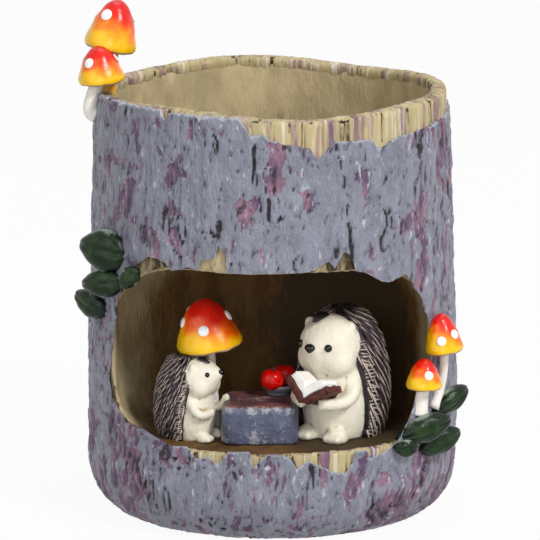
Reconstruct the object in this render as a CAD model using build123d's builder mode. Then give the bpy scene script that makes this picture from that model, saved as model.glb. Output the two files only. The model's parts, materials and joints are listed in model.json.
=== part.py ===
"""Tree-stump planter: a hollow bark pot with a den in its front, where two hedgehogs share a book.

Millimetres, +Z up. The origin is the centre of the flat foot, and the den faces -Y. Angles round the
trunk are in degrees, 0 at the front and positive towards +X.
"""

import os
from math import acos, copysign, cos, hypot, radians, sin, sqrt

from build123d import *

# Trunk
STUMP_HEIGHT = 106.5  # foot to the mean level of the rim
RIM_RADIUS = 44.8  # outside of the wall at the rim
GIRTH_RADIUS = 46.8  # outside of the wall at its widest
GIRTH_LEVEL = 30.0  # level of the widest place
FOOT_RADIUS = 38.0  # flat foot that the stump stands on
HEEL_HEIGHT = 14.0  # rounding between the foot and the wall
RIM_WAVES = ((3, 0.6, -40.0), (5, 0.35, -30.0))  # count, height, start angle
RIM_SPARE = 8.0  # how far the trunk is drawn past the rim before the rim is cut
RIM_GRID = 13  # points along each side of the rim's cutting surface

# Torn bark: it stands proud of the bare wood under the rim and round the den's mouth
BARK = 1.2
# angle, level below the rim, from the front round to the right
TORN_RIM_FRONT = (
    (-7.0, 4.4),
    (0.0, 5.5),
    (12.0, 7.5),
    (15.5, 10.1),
    (21.0, 6.0),
    (33.0, 6.3),
    (37.0, 9.1),
    (42.0, 7.0),
    (60.0, 6.2),
    (90.0, 5.3),
)
TORN_RIM_BACK = (
    (90.0, 5.3),
    (110.0, 4.2),
    (126.0, 7.5),
    (150.0, 4.0),
    (175.0, 6.5),
    (205.0, 4.0),
    (232.0, 6.0),
)
# angle, level below the den's floor, from the left
TORN_LIP = (
    (-58.0, -9.0),
    (-50.0, -3.5),
    (-32.0, 0.6),
    (-27.0, -0.6),
    (-23.5, 1.8),
    (-17.0, 2.6),
    (-13.4, -0.6),
    (-6.7, -0.6),
    (-6.0, 3.2),
    (-1.5, -0.4),
    (3.6, -0.4),
    (7.3, 3.4),
    (11.0, 1.5),
    (18.7, 4.8),
    (22.6, 5.4),
    (25.9, -0.4),
    (30.1, -0.4),
    (31.0, 2.4),
    (41.2, -0.6),
    (50.0, -10.5),
    (57.0, -15.0),
)
# angle, level above the den's top, from the right
TORN_BROW = (
    (58.5, -22.0),
    (52.8, -9.9),
    (44.4, -2.6),
    (37.8, -3.7),
    (26.0, 0.6),
    (24.0, 4.4),
    (21.5, 4.8),
    (19.0, 1.4),
    (16.5, 3.0),
    (10.7, 0.6),
    (-13.6, 0.6),
    (-16.5, 7.3),
    (-17.2, 4.0),
    (-22.0, 3.2),
    (-23.0, 0.6),
    (-32.0, -0.4),
    (-36.0, 2.0),
    (-40.4, 2.4),
    (-52.0, -5.0),
    (-58.0, -18.0),
    (-61.0, -30.0),
)

# Planting room
WALL = 5.0  # wall at the rim
BASE_THICKNESS = 8.0
ROOM_ROUND = 9.0  # rounding between the planting room's floor and its wall
DRAIN_DIAMETER = 9.0

# Den
DEN_FLOOR = 23.0
DEN_TOP = 68.0
DEN_SIDE = 7.3  # trunk left beside the den's mouth
DEN_HALF_WIDTH = GIRTH_RADIUS - DEN_SIDE
DEN_SETBACK = 22.8  # the mouth's side edges, back from the front of the trunk
DEN_MOUTH = GIRTH_RADIUS - DEN_SETBACK  # the mouth's side edges, in front of the trunk's axis
DEN_REACH = 29.0  # from the mouth's side edges to the back wall
DEN_WALL = 5.5
DEN_LOWER_ROUND = 14.0
DEN_UPPER_ROUND = 18.0

# Toadstools
STEM_FLARE = 1.2  # foot of a stem, as a share of its middle
CAP_BRIM = 0.12  # level of a cap's widest ring, as a share of its height
CAP_HOLLOW = 0.16  # level of a cap's underside at the stem, as a share of its height
SPOT_HEIGHT = 0.45  # how far a spot stands out of its cap
SPOT_SHARE = 0.2  # radius of a spot, as a share of its cap's radius
SOCKET_DEPTH = 4.0  # depth of a stem's peg in the rim
PEG_RADIUS = 1.5
GLUE_GAP = 0.05  # room for the bond round a peg

RIM_TALL_ANGLE = -87.0
RIM_TALL_CAP_RADIUS = 6.5
RIM_TALL_CAP_HEIGHT = 12.6
RIM_TALL_STEM_RADIUS = 2.6
RIM_TALL_RISE = 10.0  # brim above the mean level of the rim
RIM_TALL_SHIFT = 1.6  # brim's centre towards the opening from the foot of the stem
RIM_TALL_LEAN = 12.0  # lean of the cap towards the opening
RIM_TALL_SPOTS = ((-125.0, 0.3), (-20.0, 0.45), (60.0, 0.35), (150.0, 0.6))  # turn, share of the way down
RIM_SHORT_ANGLE = -79.0
RIM_SHORT_CAP_RADIUS = 5.8
RIM_SHORT_CAP_HEIGHT = 9.2
RIM_SHORT_STEM_RADIUS = 1.9
RIM_SHORT_RISE = 2.6
RIM_SHORT_SHIFT = 1.6
RIM_SHORT_LEAN = 5.0  # lean of the cap away from the opening
RIM_SHORT_SPOTS = ((-110.0, 0.35), (-30.0, 0.6), (150.0, 0.5))
RIM_SHORT_FOOT_DROP = 5.0  # foot of the stem below the mean level of the rim
SIDE_UPPER_ANGLE = 60.4
SIDE_UPPER_LEVEL = 44.1  # level of the brim
SIDE_UPPER_STAND = 3.0  # the brim's centre outside the wall
SIDE_UPPER_LEAN = 8.0  # lean of the cap towards the den
SIDE_UPPER_CAP_RADIUS = 4.7
SIDE_UPPER_CAP_HEIGHT = 9.8
SIDE_UPPER_STEM_RADIUS = 1.3
SIDE_UPPER_FOOT_ANGLE = 59.0
SIDE_UPPER_BOW = 4.1  # how far past the cap's angle the stem bows out
SIDE_LOWER_ANGLE = 51.6
SIDE_LOWER_LEVEL = 36.2
SIDE_LOWER_STAND = 1.4
SIDE_LOWER_CAP_RADIUS = 4.5
SIDE_LOWER_CAP_HEIGHT = 7.4
SIDE_LOWER_STEM_RADIUS = 1.5
SIDE_STEM_FOOT = 29.5  # level where both side stems leave the wall
SIDE_UPPER_SPOTS = ((-95.0, 0.38), (-15.0, 0.4))
SIDE_LOWER_SPOTS = ((-70.0, 0.35),)

# Leaves
LEAF_CREASE = 0.5  # depth of the crease down a leaf's middle
LEAF_EDGE = 0.3  # thickness at a leaf's tip, as a share of the thickness at its middle
LEAF_TIP_ROUND = 1.6
LEAF_STAND = 2.0  # how far the middle of a leaf stands off the wall
LEAF_TURN = 32.0  # degrees by which a leaf faces the front more than the wall does behind it
LEAF_BACK = 1.4  # depth of a leaf behind its edge
# name, angle, level, length, width, thickness, spin, tilt
LEFT_LEAVES = (
    ("middle", -60.9, 61.4, 11.8, 6.6, 2.6, 8.0, 4.0),
    ("low", -70.1, 54.7, 10.0, 6.6, 2.4, -22.0, -6.0),
    ("top", -60.7, 69.8, 13.6, 9.4, 3.0, -8.0, 10.0),
    ("inner", -47.2, 64.7, 6.4, 4.4, 1.8, 50.0, 0.0),
)
RIGHT_LEAVES = (
    ("low", 58.5, 21.3, 12.0, 6.0, 2.4, 20.0, -8.0),
    ("middle", 50.5, 26.0, 14.0, 6.4, 2.8, 16.0, -2.0),
    ("top", 64.9, 30.6, 12.3, 5.4, 2.6, 24.0, 4.0),
    ("inner", 42.5, 22.4, 6.0, 4.0, 1.6, -6.0, -8.0),
)

# Den furniture: places are across the den, and back from the front of the trunk
TABLE_PLACE = (-2.9, 19.8)
TABLE_LENGTH = 19.0
TABLE_DEPTH = 18.0
TABLE_HEIGHT = 10.0
TABLE_CORNER = 4.5
TABLE_ROUND = 2.4
DISH_PLACE = (1.6, 24.2)
DISH_RADIUS = 4.2
DISH_FOOT_RADIUS = 2.8
DISH_FOOT_HEIGHT = 0.5
DISH_HEIGHT = 2.6
DISH_WALL = 0.6
APPLE_RADIUS = 2.9
APPLE_LIFT = 1.3  # lowest point of an apple above the table
APPLE_PLACES = ((-1.5, -2.5), (1.5, 2.5))  # from the dish's centre

# Hedgehogs: sizes of the parent, which the young one shares at its own scale
YOUNG_SCALE = 0.66
PARENT_PLACE = (17.8, 25.8)
PARENT_TURN = -31.0  # turn from facing the front, positive towards +X
YOUNG_PLACE = (-21.7, 20.8)
YOUNG_TURN = 62.0
YOUNG_PITCH = 15.0  # lift of the young one's snout
COAT_RADIUS = 11.3
COAT_HEIGHT = 33.0
COAT_FRONT = 3.0  # the coat's front edge, ahead of its axis
COAT_RAKE = 7.0  # lean of that front edge, so that the coat hoods the head
BODY_RADIUS = 8.8
BODY_HEIGHT = 27.0
BODY_FORWARD = 3.2
HEAD_RADIUS = 8.1
HEAD_LEVEL = 23.2
HEAD_FORWARD = 6.0
SNOUT_LENGTH = 10.6  # from the head's centre
SNOUT_RADIUS = 2.0
NOSE_RADIUS = 1.25
NOSE_RISE = 0.8
NOSE_SINK = 0.25  # centre of the nose inside the tip of the snout
EYE_RADIUS = 0.95
EYE_SPREAD = 4.4
EYE_RISE = 1.0
EYE_FORWARD = 6.6
EAR_RADIUS = 2.0
EAR_SPREAD = 5.9
EAR_RISE = 5.2
EAR_FORWARD = 1.2
FORELOCK_RADIUS = 1.8
FORELOCK_SHIFT = 1.0
PAW_RADIUS = 2.9
PAW_LIFT = 0.9  # a foot's centre above the floor
PAW_SPREAD = 4.3
PAW_FORWARD = 10.6
ARM_RADIUS = 1.75
SHOULDER = (6.4, -6.0, 14.5)
ELBOW = (7.2, -10.2, 11.0)
READING_PAW = (3.4, -15.0, 10.4)
RESTING_PAW = (3.4, -12.6, 11.0)
REACHING_PAW = (5.2, -14.8, 15.4)

# Book
BOOK_LEAF = 9.4  # spine to fore edge
BOOK_SPINE = 9.0  # head to tail
BOOK_OPENING = 36.0  # rise of each cover from flat
BOOK_PITCH = 35.0  # lift of the book's head towards the reader's face
BOOK_COVER = 0.8
BOOK_PAGES = 1.5
BOOK_MARGIN = 0.7  # how far the covers stand out past the pages
BOOK_SPINE_HALF = 0.8
BOOK_PLACE = (0.0, -16.2, 11.4)

# Umbrella toadstool over the young hedgehog
UMBRELLA_FOOT = (-14.1, 27.8)
UMBRELLA_PLACE = (-15.3, 24.3)  # the brim's centre
UMBRELLA_LEVEL = 21.6  # brim above the den's floor
UMBRELLA_CAP_RADIUS = 8.2
UMBRELLA_CAP_HEIGHT = 12.6
UMBRELLA_STEM_RADIUS = 1.25
UMBRELLA_LEAN = 9.0  # lean of the cap towards the left
UMBRELLA_SPOTS = ((-95.0, 0.42), (-165.0, 0.6), (-10.0, 0.7), (60.0, 0.4), (140.0, 0.35))

PARTS = "parts"


def keep(part, name):
    """Labels a finished piece and writes it as its own file."""
    part.label = name
    export_step(part, os.path.join(PARTS, name + ".step"))
    return part


def wave(waves, angle):
    """Sum of cosine waves round the trunk, each (count, height, start angle)."""
    return sum(height * cos(radians(count * (angle - start))) for count, height, start in waves)


def trunk_radius(level):
    """Outside radius of the trunk at a level."""
    if level < HEEL_HEIGHT:
        turn = acos(1 - max(level, 0) / HEEL_HEIGHT)
        return FOOT_RADIUS + (GIRTH_RADIUS - FOOT_RADIUS) * sin(turn)
    if level < GIRTH_LEVEL:
        return GIRTH_RADIUS
    rise = (level - GIRTH_LEVEL) / (STUMP_HEIGHT - GIRTH_LEVEL)
    return GIRTH_RADIUS + (RIM_RADIUS - GIRTH_RADIUS) * rise


def wall_point(angle, level, out=0.0):
    """Point on the trunk's outside, or that far outside it."""
    radius = trunk_radius(level) + out
    return Vector(radius * sin(radians(angle)), -radius * cos(radians(angle)), level)


def outward(angle, lift=0.0):
    """Direction away from the trunk's axis, lifted above the horizon."""
    flat = cos(radians(lift))
    return Vector(flat * sin(radians(angle)), -flat * cos(radians(angle)), sin(radians(lift)))


def den_point(place, level):
    """Point in the den from its place across and back, and its level."""
    return Vector(place[0], place[1] - GIRTH_RADIUS, level)


def pot_shell(inset, floor, foot_radius, bottom_round):
    """Solid of revolution inside the trunk's wall, or the trunk itself where the inset is 0."""
    top = STUMP_HEIGHT + RIM_SPARE
    side = GIRTH_RADIUS - inset
    with BuildPart() as shell:
        with BuildSketch(Plane.XZ):
            with BuildLine():
                Line((0, floor), (foot_radius, floor))
                EllipticalCenterArc(
                    (foot_radius, floor + bottom_round),
                    side - foot_radius,
                    bottom_round,
                    start_angle=-90,
                    arc_size=90,
                )
                Polyline(
                    (side, floor + bottom_round),
                    (side, GIRTH_LEVEL),
                    (trunk_radius(top) - inset, top),
                    (0, top),
                    (0, floor),
                )
            make_face()
        revolve(axis=Axis.Z)
    return shell.part


def den_hollow(grow, floor):
    """The scooped den, or the block of wall round it, grown outwards all round."""
    front = -GIRTH_RADIUS - DEN_UPPER_ROUND
    back = DEN_REACH + grow - DEN_MOUTH
    wide = DEN_HALF_WIDTH + grow
    top = DEN_TOP + grow
    with BuildPart() as hollow:
        with BuildSketch(Plane.XZ.offset(-front)) as mouth:
            with Locations((0, (top + floor) / 2)):
                Rectangle(2 * wide, top - floor)
            fillet(mouth.vertices().group_by(Axis.Y)[0], DEN_LOWER_ROUND)
            fillet(mouth.vertices().group_by(Axis.Y)[-1], DEN_UPPER_ROUND)
        extrude(amount=front - back)
        with BuildSketch(Plane.XY.offset(floor), mode=Mode.PRIVATE) as plan:
            with Locations((0, -DEN_MOUTH)):
                Ellipse(wide, DEN_REACH + grow)
            with Locations((0, (front - DEN_MOUTH) / 2)):
                Rectangle(2 * wide, -DEN_MOUTH - front)
        extrude(plan.sketch, amount=top - floor, mode=Mode.INTERSECT)
    return hollow.part


def rim_surface():
    """Uneven sheet through the rim."""
    half = RIM_RADIUS + RIM_SPARE
    steps = [half * (2 * i / (RIM_GRID - 1) - 1) for i in range(RIM_GRID)]

    def level(x, y):
        turn = Vector(0, -1).get_signed_angle(Vector(x, y), Vector(0, 0, 1)) if hypot(x, y) else 0.0
        return STUMP_HEIGHT + wave(RIM_WAVES, turn) * (hypot(x, y) / RIM_RADIUS) ** 2

    return Face.make_surface_from_array_of_points([[(x, y, level(x, y)) for x in steps] for y in steps])


def torn_off(outline, ahead):
    """Bark torn off inside an outline of (across, level) points on the trunk's front (-1) or back (1)."""
    with BuildPart() as waste:
        with BuildSketch(Plane.XZ) as tear:
            Polygon(*outline, align=None)
        extrude(tear.sketch, amount=GIRTH_RADIUS + WALL, dir=(0, ahead, 0))
        add(pot_shell(-BARK, 0.0, FOOT_RADIUS, HEEL_HEIGHT), mode=Mode.INTERSECT)
        add(pot_shell(BARK, 0.0, FOOT_RADIUS - BARK, HEEL_HEIGHT), mode=Mode.SUBTRACT)
    return waste.part


def torn_rim(points, ahead):
    """The bark torn off between a ragged line of (angle, level below the rim) points and the rim."""
    line = [wall_point(angle, STUMP_HEIGHT - drop) for angle, drop in points]
    top = STUMP_HEIGHT + 2 * RIM_SPARE
    side = Vector(2 * GIRTH_RADIUS, 0)
    right = line[-1] if ahead < 0 else line[0]
    corners = [(side.X, right.Z), (side.X, top)]
    free = line[0] if ahead < 0 else line[-1]
    past = [(free.X - RIM_SPARE / 2, top)]
    ragged = [(point.X, point.Z) for point in line]
    return torn_off(past + ragged + corners if ahead < 0 else ragged + past + corners[::-1], ahead)


def torn_mouth():
    """The bark torn off round the den's mouth."""
    line = [wall_point(angle, DEN_FLOOR - drop) for angle, drop in TORN_LIP]
    line += [wall_point(angle, DEN_TOP + rise) for angle, rise in TORN_BROW]
    return torn_off([(point.X, point.Z) for point in line], -1)


def profile_plane(seat):
    """Upright plane through a seat's own axis, to draw what turns about that axis."""
    return Plane(seat.origin, x_dir=seat.x_dir, z_dir=-seat.y_dir)


def cap_side(radius, height):
    """Upper outline of a toadstool cap from its crown to its brim, drawn at the axis."""
    return Spline(
        (0, height),
        (0.5 * radius, 0.8 * height),
        (0.9 * radius, 0.34 * height),
        (radius, CAP_BRIM * height),
        tangents=((1, 0), (-0.1, -1)),
    )


def toadstool_cap(seat, radius, height):
    """Bell-shaped cap with a rolled brim and a hollow underside. The seat is the brim's centre."""
    with BuildPart() as cap:
        with BuildSketch(profile_plane(seat)):
            with BuildLine():
                cap_side(radius, height)
                ThreePointArc(
                    (radius, CAP_BRIM * height),
                    (0.94 * radius, 0.02 * height),
                    (0.8 * radius, 0.0),
                )
                Polyline((0.8 * radius, 0), (0, CAP_HOLLOW * height), (0, height))
            make_face()
        revolve(axis=Axis(seat.origin, seat.z_dir))
    return cap.part


def toadstool_spots(seat, radius, height, cap, places):
    """Low white domes on a cap, each at (turn about the cap's axis, share of the way down its side)."""
    ball = ((SPOT_SHARE * radius) ** 2 + SPOT_HEIGHT**2) / (2 * SPOT_HEIGHT)
    with BuildLine(mode=Mode.PRIVATE) as outline:
        cap_side(radius, height)
    side = outline.edges()[0]
    centres = []
    for turn, share in places:
        at = side @ share
        along = side % share
        sunk = at + Vector(-along.Y, along.X) * (SPOT_HEIGHT - ball)
        centres.append(
            seat.from_local_coords((sunk.X * cos(radians(turn)), sunk.X * sin(radians(turn)), sunk.Y))
        )
    with BuildPart() as spots:
        with Locations(*centres):
            Sphere(ball)
        add(cap, mode=Mode.SUBTRACT)
    return spots.part


def stem(foot, knee, top, radius):
    """Curved stem, wider at its foot, through three points."""
    with BuildPart() as stalk:
        tangents = (knee - foot, top - foot, top - knee)
        for point, along, share in zip((foot, knee, top), tangents, (STEM_FLARE, 1.0, 1.0)):
            with BuildSketch(Plane(point, z_dir=along)):
                Circle(radius * share)
        loft()
    return stalk.part


def leaf(name, angle, level, length, width, thickness, spin, tilt, trimmed_by):
    """Thick creased leaf on the wall, spun from level and tilted out, trimmed to what it grows on."""
    facing = angle - copysign(LEAF_TURN, angle)
    out = outward(facing, tilt)
    side = Vector(cos(radians(facing)), sin(radians(facing)), 0).rotate(Axis((0, 0, 0), out), spin)
    seat = Plane(wall_point(angle, level, LEAF_STAND), x_dir=side, z_dir=out)
    fall = thickness * (1 - LEAF_EDGE)
    ball = ((length / 2) ** 2 + fall**2) / (2 * fall)
    dome = Plane(seat.from_local_coords((0, 0, thickness - ball)), x_dir=-out, z_dir=seat.x_dir)
    crease = Plane(seat.from_local_coords((0, 0, thickness)), x_dir=seat.y_dir, z_dir=seat.x_dir)
    with BuildPart() as blade:
        with BuildSketch(seat.offset(-LEAF_BACK)) as outline:
            with BuildLine():
                ThreePointArc((-length / 2, 0), (0, width / 2), (length / 2, 0))
                ThreePointArc((length / 2, 0), (0, -width / 2), (-length / 2, 0))
            make_face()
            fillet(outline.vertices(), LEAF_TIP_ROUND)
        extrude(amount=LEAF_BACK + thickness)
        with Locations(dome):
            Sphere(ball, mode=Mode.INTERSECT)
        with BuildSketch(crease):
            Polygon((0, -LEAF_CREASE), (LEAF_CREASE, LEAF_CREASE), (-LEAF_CREASE, LEAF_CREASE), align=None)
        extrude(amount=length, both=True, mode=Mode.SUBTRACT)
        for other in trimmed_by:
            add(other, mode=Mode.SUBTRACT)
    with BuildPart() as trimmed:
        add(blade.solids().sort_by(SortBy.VOLUME)[-1])
    return keep(trimmed.part, name)


def egg(seat, radius, height):
    """Upright egg with a flat foot, added to the piece being built."""
    with BuildSketch(profile_plane(seat)) as half:
        with BuildLine():
            Spline(
                (0.82 * radius, 0),
                (radius, 0.33 * height),
                (0.7 * radius, 0.82 * height),
                (0, height),
                tangents=((0.5, 1), (-1, 0)),
            )
            Polyline((0, height), (0, 0), (0.82 * radius, 0))
        make_face()
    revolve(half.sketch, axis=Axis(seat.origin, seat.z_dir))


def limb(points, radius):
    """Bent limb with rounded ends through three points, added to the piece being built."""
    with BuildLine(mode=Mode.PRIVATE) as bend:
        ThreePointArc(*points)
    path = bend.wires()[0]
    with BuildSketch(Plane(path @ 0, z_dir=path % 0)) as tip:
        Circle(radius)
    sweep(tip.sketch, path=path)
    with Locations(points[0], points[2]):
        Sphere(radius)


class Figure:
    """Where a hedgehog stands and faces, its scale and the lift of its snout, in its own frame, -Y ahead."""

    def __init__(self, place, turn, scale, pitch=0.0):
        across = (cos(radians(turn)), sin(radians(turn)), 0)
        self.plane = Plane(den_point(place, DEN_FLOOR), x_dir=across, z_dir=(0, 0, 1))
        self.scale = scale
        self.pitch = pitch

    def point(self, x, y, z):
        return self.plane.from_local_coords((x * self.scale, y * self.scale, z * self.scale))

    def seat(self, x, y, z):
        return Plane(self.point(x, y, z), x_dir=self.plane.x_dir, z_dir=self.plane.z_dir)

    def size(self, length):
        return length * self.scale


def hedgehog(name, figure, under=()):
    """Body, quill coat, ears, eyes and nose of one hedgehog, trimmed by what stands over it."""
    size = figure.size
    ahead = -figure.plane.y_dir
    head = figure.seat(0, -HEAD_FORWARD, HEAD_LEVEL)
    look = ahead.rotate(Axis((0, 0, 0), figure.plane.x_dir), -figure.pitch)
    face = Plane(head.origin, x_dir=figure.plane.x_dir, z_dir=look)
    brow = (-FORELOCK_SHIFT, FORELOCK_RADIUS / 2 - HEAD_FORWARD, HEAD_LEVEL + HEAD_RADIUS)
    taper = (HEAD_RADIUS - SNOUT_RADIUS) / (SNOUT_LENGTH - SNOUT_RADIUS)
    slimming = sqrt(1 - taper**2)

    with BuildPart() as body:
        egg(figure.seat(0, -BODY_FORWARD, 0), size(BODY_RADIUS), size(BODY_HEIGHT))
        with Locations(face):
            Sphere(size(HEAD_RADIUS))
        with Locations(face.offset(size(SNOUT_LENGTH - SNOUT_RADIUS))):
            Sphere(size(SNOUT_RADIUS))
        with Locations(face.offset(size(HEAD_RADIUS * taper))):
            Cone(
                size(HEAD_RADIUS * slimming),
                size(SNOUT_RADIUS * slimming),
                size(SNOUT_LENGTH - SNOUT_RADIUS + (SNOUT_RADIUS - HEAD_RADIUS) * taper),
                align=(Align.CENTER, Align.CENTER, Align.MIN),
            )
        for piece in under:
            add(piece, mode=Mode.SUBTRACT)

    with BuildPart() as coat:
        egg(figure.seat(0, 0, 0), size(COAT_RADIUS), size(COAT_HEIGHT))
        edge = Plane(
            figure.point(0, -COAT_FRONT, 0),
            x_dir=figure.plane.x_dir,
            z_dir=ahead.rotate(Axis((0, 0, 0), figure.plane.x_dir), COAT_RAKE),
        )
        split(bisect_by=edge, keep=Keep.BOTTOM)
        with Locations(figure.point(*brow)):
            Sphere(size(FORELOCK_RADIUS))
        for piece in (body.part, stump_body, *under):
            add(piece, mode=Mode.SUBTRACT)

    with BuildPart() as ears:
        for hand in (-1, 1):
            with Locations(
                figure.point(hand * EAR_SPREAD, -HEAD_FORWARD - EAR_FORWARD, HEAD_LEVEL + EAR_RISE)
            ):
                Sphere(size(EAR_RADIUS))
        for piece in (body.part, coat.part, *under):
            add(piece, mode=Mode.SUBTRACT)

    with BuildPart() as eyes:
        for hand in (-1, 1):
            socket = (size(hand * EYE_SPREAD), size(EYE_RISE), size(EYE_FORWARD))
            with Locations(face.from_local_coords(socket)):
                Sphere(size(EYE_RADIUS))
        add(body.part, mode=Mode.SUBTRACT)

    with BuildPart() as nose:
        with Locations(face.from_local_coords((0, size(NOSE_RISE), size(SNOUT_LENGTH - NOSE_SINK)))):
            Sphere(size(NOSE_RADIUS))
        add(body.part, mode=Mode.SUBTRACT)

    keep(body.part, name + "_body")
    keep(coat.part, name + "_quill_coat")
    keep(ears.part, name + "_ears")
    keep(eyes.part, name + "_eyes")
    keep(nose.part, name + "_nose")
    return body.part, coat.part


def feet(name, figure, trimmed_by):
    """Pair of rounded feet on the den's floor."""
    with BuildPart() as pair:
        for hand in (-1, 1):
            with Locations(figure.point(hand * PAW_SPREAD, -PAW_FORWARD, PAW_LIFT)):
                Sphere(figure.size(PAW_RADIUS))
        for piece in trimmed_by:
            add(piece, mode=Mode.SUBTRACT)
    return keep(pair.part, name)


def arm(name, figure, hand, paw, trimmed_by):
    """One arm from the shoulder to a paw, on the left (-1) or right (1) of the figure."""
    bend = [figure.point(hand * x, y, z) for x, y, z in (SHOULDER, ELBOW, paw)]
    with BuildPart() as piece:
        limb(bend, figure.size(ARM_RADIUS))
        for other in trimmed_by:
            add(other, mode=Mode.SUBTRACT)
    return keep(piece.part, name)


os.makedirs(PARTS, exist_ok=True)

# Stump
den = den_hollow(0.0, DEN_FLOOR)

with BuildPart() as planting_room:
    add(pot_shell(WALL, BASE_THICKNESS, GIRTH_RADIUS - WALL - ROOM_ROUND, ROOM_ROUND))
    add(den_hollow(DEN_WALL, -DEN_FLOOR), mode=Mode.SUBTRACT)

with BuildPart() as rim_waste:
    extrude(rim_surface(), amount=2 * RIM_SPARE, dir=(0, 0, 1))

trunk = pot_shell(0.0, 0.0, FOOT_RADIUS, HEEL_HEIGHT)
tears = [torn_rim(TORN_RIM_FRONT, -1), torn_rim(TORN_RIM_BACK, 1), torn_mouth()]

with BuildPart() as stump:
    add(trunk)
    for hollow in (planting_room.part, den, rim_waste.part, *tears):
        add(hollow, mode=Mode.SUBTRACT)
    pocket_front = DEN_REACH + DEN_WALL - DEN_MOUTH
    pocket_back = GIRTH_RADIUS - WALL
    with Locations((0, (pocket_front + pocket_back) / 2, BASE_THICKNESS / 2)):
        Cylinder(DRAIN_DIAMETER / 2, 2 * BASE_THICKNESS, mode=Mode.SUBTRACT)

# Rim toadstools: the tall one stands in a socket in the rim, the short one climbs the outside of the wall
tall_foot = wall_point(RIM_TALL_ANGLE, STUMP_HEIGHT, -WALL / 2)
socket_floor = tall_foot - Vector(0, 0, SOCKET_DEPTH)
upwards = (Align.CENTER, Align.CENTER, Align.MIN)

with BuildPart() as socketed_stump:
    add(stump.part)
    with Locations(socket_floor):
        Cylinder(PEG_RADIUS + GLUE_GAP, 2 * SOCKET_DEPTH, align=upwards, mode=Mode.SUBTRACT)
stump_body = keep(socketed_stump.part, "stump_body")

tall_brim = tall_foot + Vector(RIM_TALL_SHIFT, 0, RIM_TALL_RISE)
tall_lean = Vector(sin(radians(RIM_TALL_LEAN)), 0, cos(radians(RIM_TALL_LEAN)))
tall_seat = Plane(tall_brim, x_dir=(1, 0, 0), z_dir=tall_lean)
tall_cap = keep(toadstool_cap(tall_seat, RIM_TALL_CAP_RADIUS, RIM_TALL_CAP_HEIGHT), "rim_toadstool_tall_cap")

short_brim = wall_point(RIM_SHORT_ANGLE, STUMP_HEIGHT + RIM_SHORT_RISE, -RIM_SHORT_SHIFT)
short_seat = Plane(short_brim, x_dir=(1, 0, 0), z_dir=outward(RIM_SHORT_ANGLE, 90 - RIM_SHORT_LEAN))
with BuildPart() as short_cap:
    add(toadstool_cap(short_seat, RIM_SHORT_CAP_RADIUS, RIM_SHORT_CAP_HEIGHT))
    for piece in (tall_cap, stump_body):
        add(piece, mode=Mode.SUBTRACT)
keep(short_cap.part, "rim_toadstool_short_cap")

with BuildPart() as tall_stem:
    tall_top = tall_seat.from_local_coords((0, 0, CAP_HOLLOW * RIM_TALL_CAP_HEIGHT))
    tall_knee = (tall_foot + tall_top) / 2
    add(stem(tall_foot - Vector(0, 0, PEG_RADIUS), tall_knee, tall_top, RIM_TALL_STEM_RADIUS))
    for piece in (stump_body, tall_cap, short_cap.part):
        add(piece, mode=Mode.SUBTRACT)
    with Locations(socket_floor):
        Cylinder(PEG_RADIUS, SOCKET_DEPTH + PEG_RADIUS, align=upwards)
keep(tall_stem.part, "rim_toadstool_tall_stem")

with BuildPart() as short_stem:
    short_foot = wall_point(RIM_SHORT_ANGLE, STUMP_HEIGHT - RIM_SHORT_FOOT_DROP)
    knee_level = STUMP_HEIGHT - RIM_SHORT_FOOT_DROP / 2
    short_knee = wall_point(RIM_SHORT_ANGLE, knee_level, RIM_SHORT_STEM_RADIUS / 2)
    short_top = short_seat.from_local_coords((0, 0, CAP_HOLLOW * RIM_SHORT_CAP_HEIGHT))
    add(stem(short_foot, short_knee, short_top, RIM_SHORT_STEM_RADIUS))
    for piece in (stump_body, short_cap.part, tall_stem.part):
        add(piece, mode=Mode.SUBTRACT)
keep(short_stem.part, "rim_toadstool_short_stem")

# Side toadstools, right of the den
side_feet = [wall_point(angle, SIDE_STEM_FOOT) for angle in (SIDE_UPPER_FOOT_ANGLE, SIDE_LOWER_ANGLE)]
upper_lean = Vector(-sin(radians(SIDE_UPPER_LEAN)), 0, cos(radians(SIDE_UPPER_LEAN)))
upper_brim = wall_point(SIDE_UPPER_ANGLE, SIDE_UPPER_LEVEL, SIDE_UPPER_STAND)
upper_seat = Plane(upper_brim, x_dir=(1, 0, 0), z_dir=upper_lean)
lower_seat = Plane(wall_point(SIDE_LOWER_ANGLE, SIDE_LOWER_LEVEL, SIDE_LOWER_STAND), x_dir=(1, 0, 0))
with BuildPart() as lower_cap:
    add(toadstool_cap(lower_seat, SIDE_LOWER_CAP_RADIUS, SIDE_LOWER_CAP_HEIGHT))
    add(trunk, mode=Mode.SUBTRACT)
keep(lower_cap.part, "side_toadstool_lower_cap")

with BuildPart() as upper_cap:
    add(toadstool_cap(upper_seat, SIDE_UPPER_CAP_RADIUS, SIDE_UPPER_CAP_HEIGHT))
    for piece in (trunk, lower_cap.part):
        add(piece, mode=Mode.SUBTRACT)
keep(upper_cap.part, "side_toadstool_upper_cap")

with BuildPart() as lower_stem:
    lower_top = lower_seat.from_local_coords((0, 0, CAP_HOLLOW * SIDE_LOWER_CAP_HEIGHT))
    add(stem(side_feet[1], (side_feet[1] + lower_top) / 2, lower_top, SIDE_LOWER_STEM_RADIUS))
    for piece in (trunk, lower_cap.part, upper_cap.part):
        add(piece, mode=Mode.SUBTRACT)
keep(lower_stem.part, "side_toadstool_lower_stem")

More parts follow.
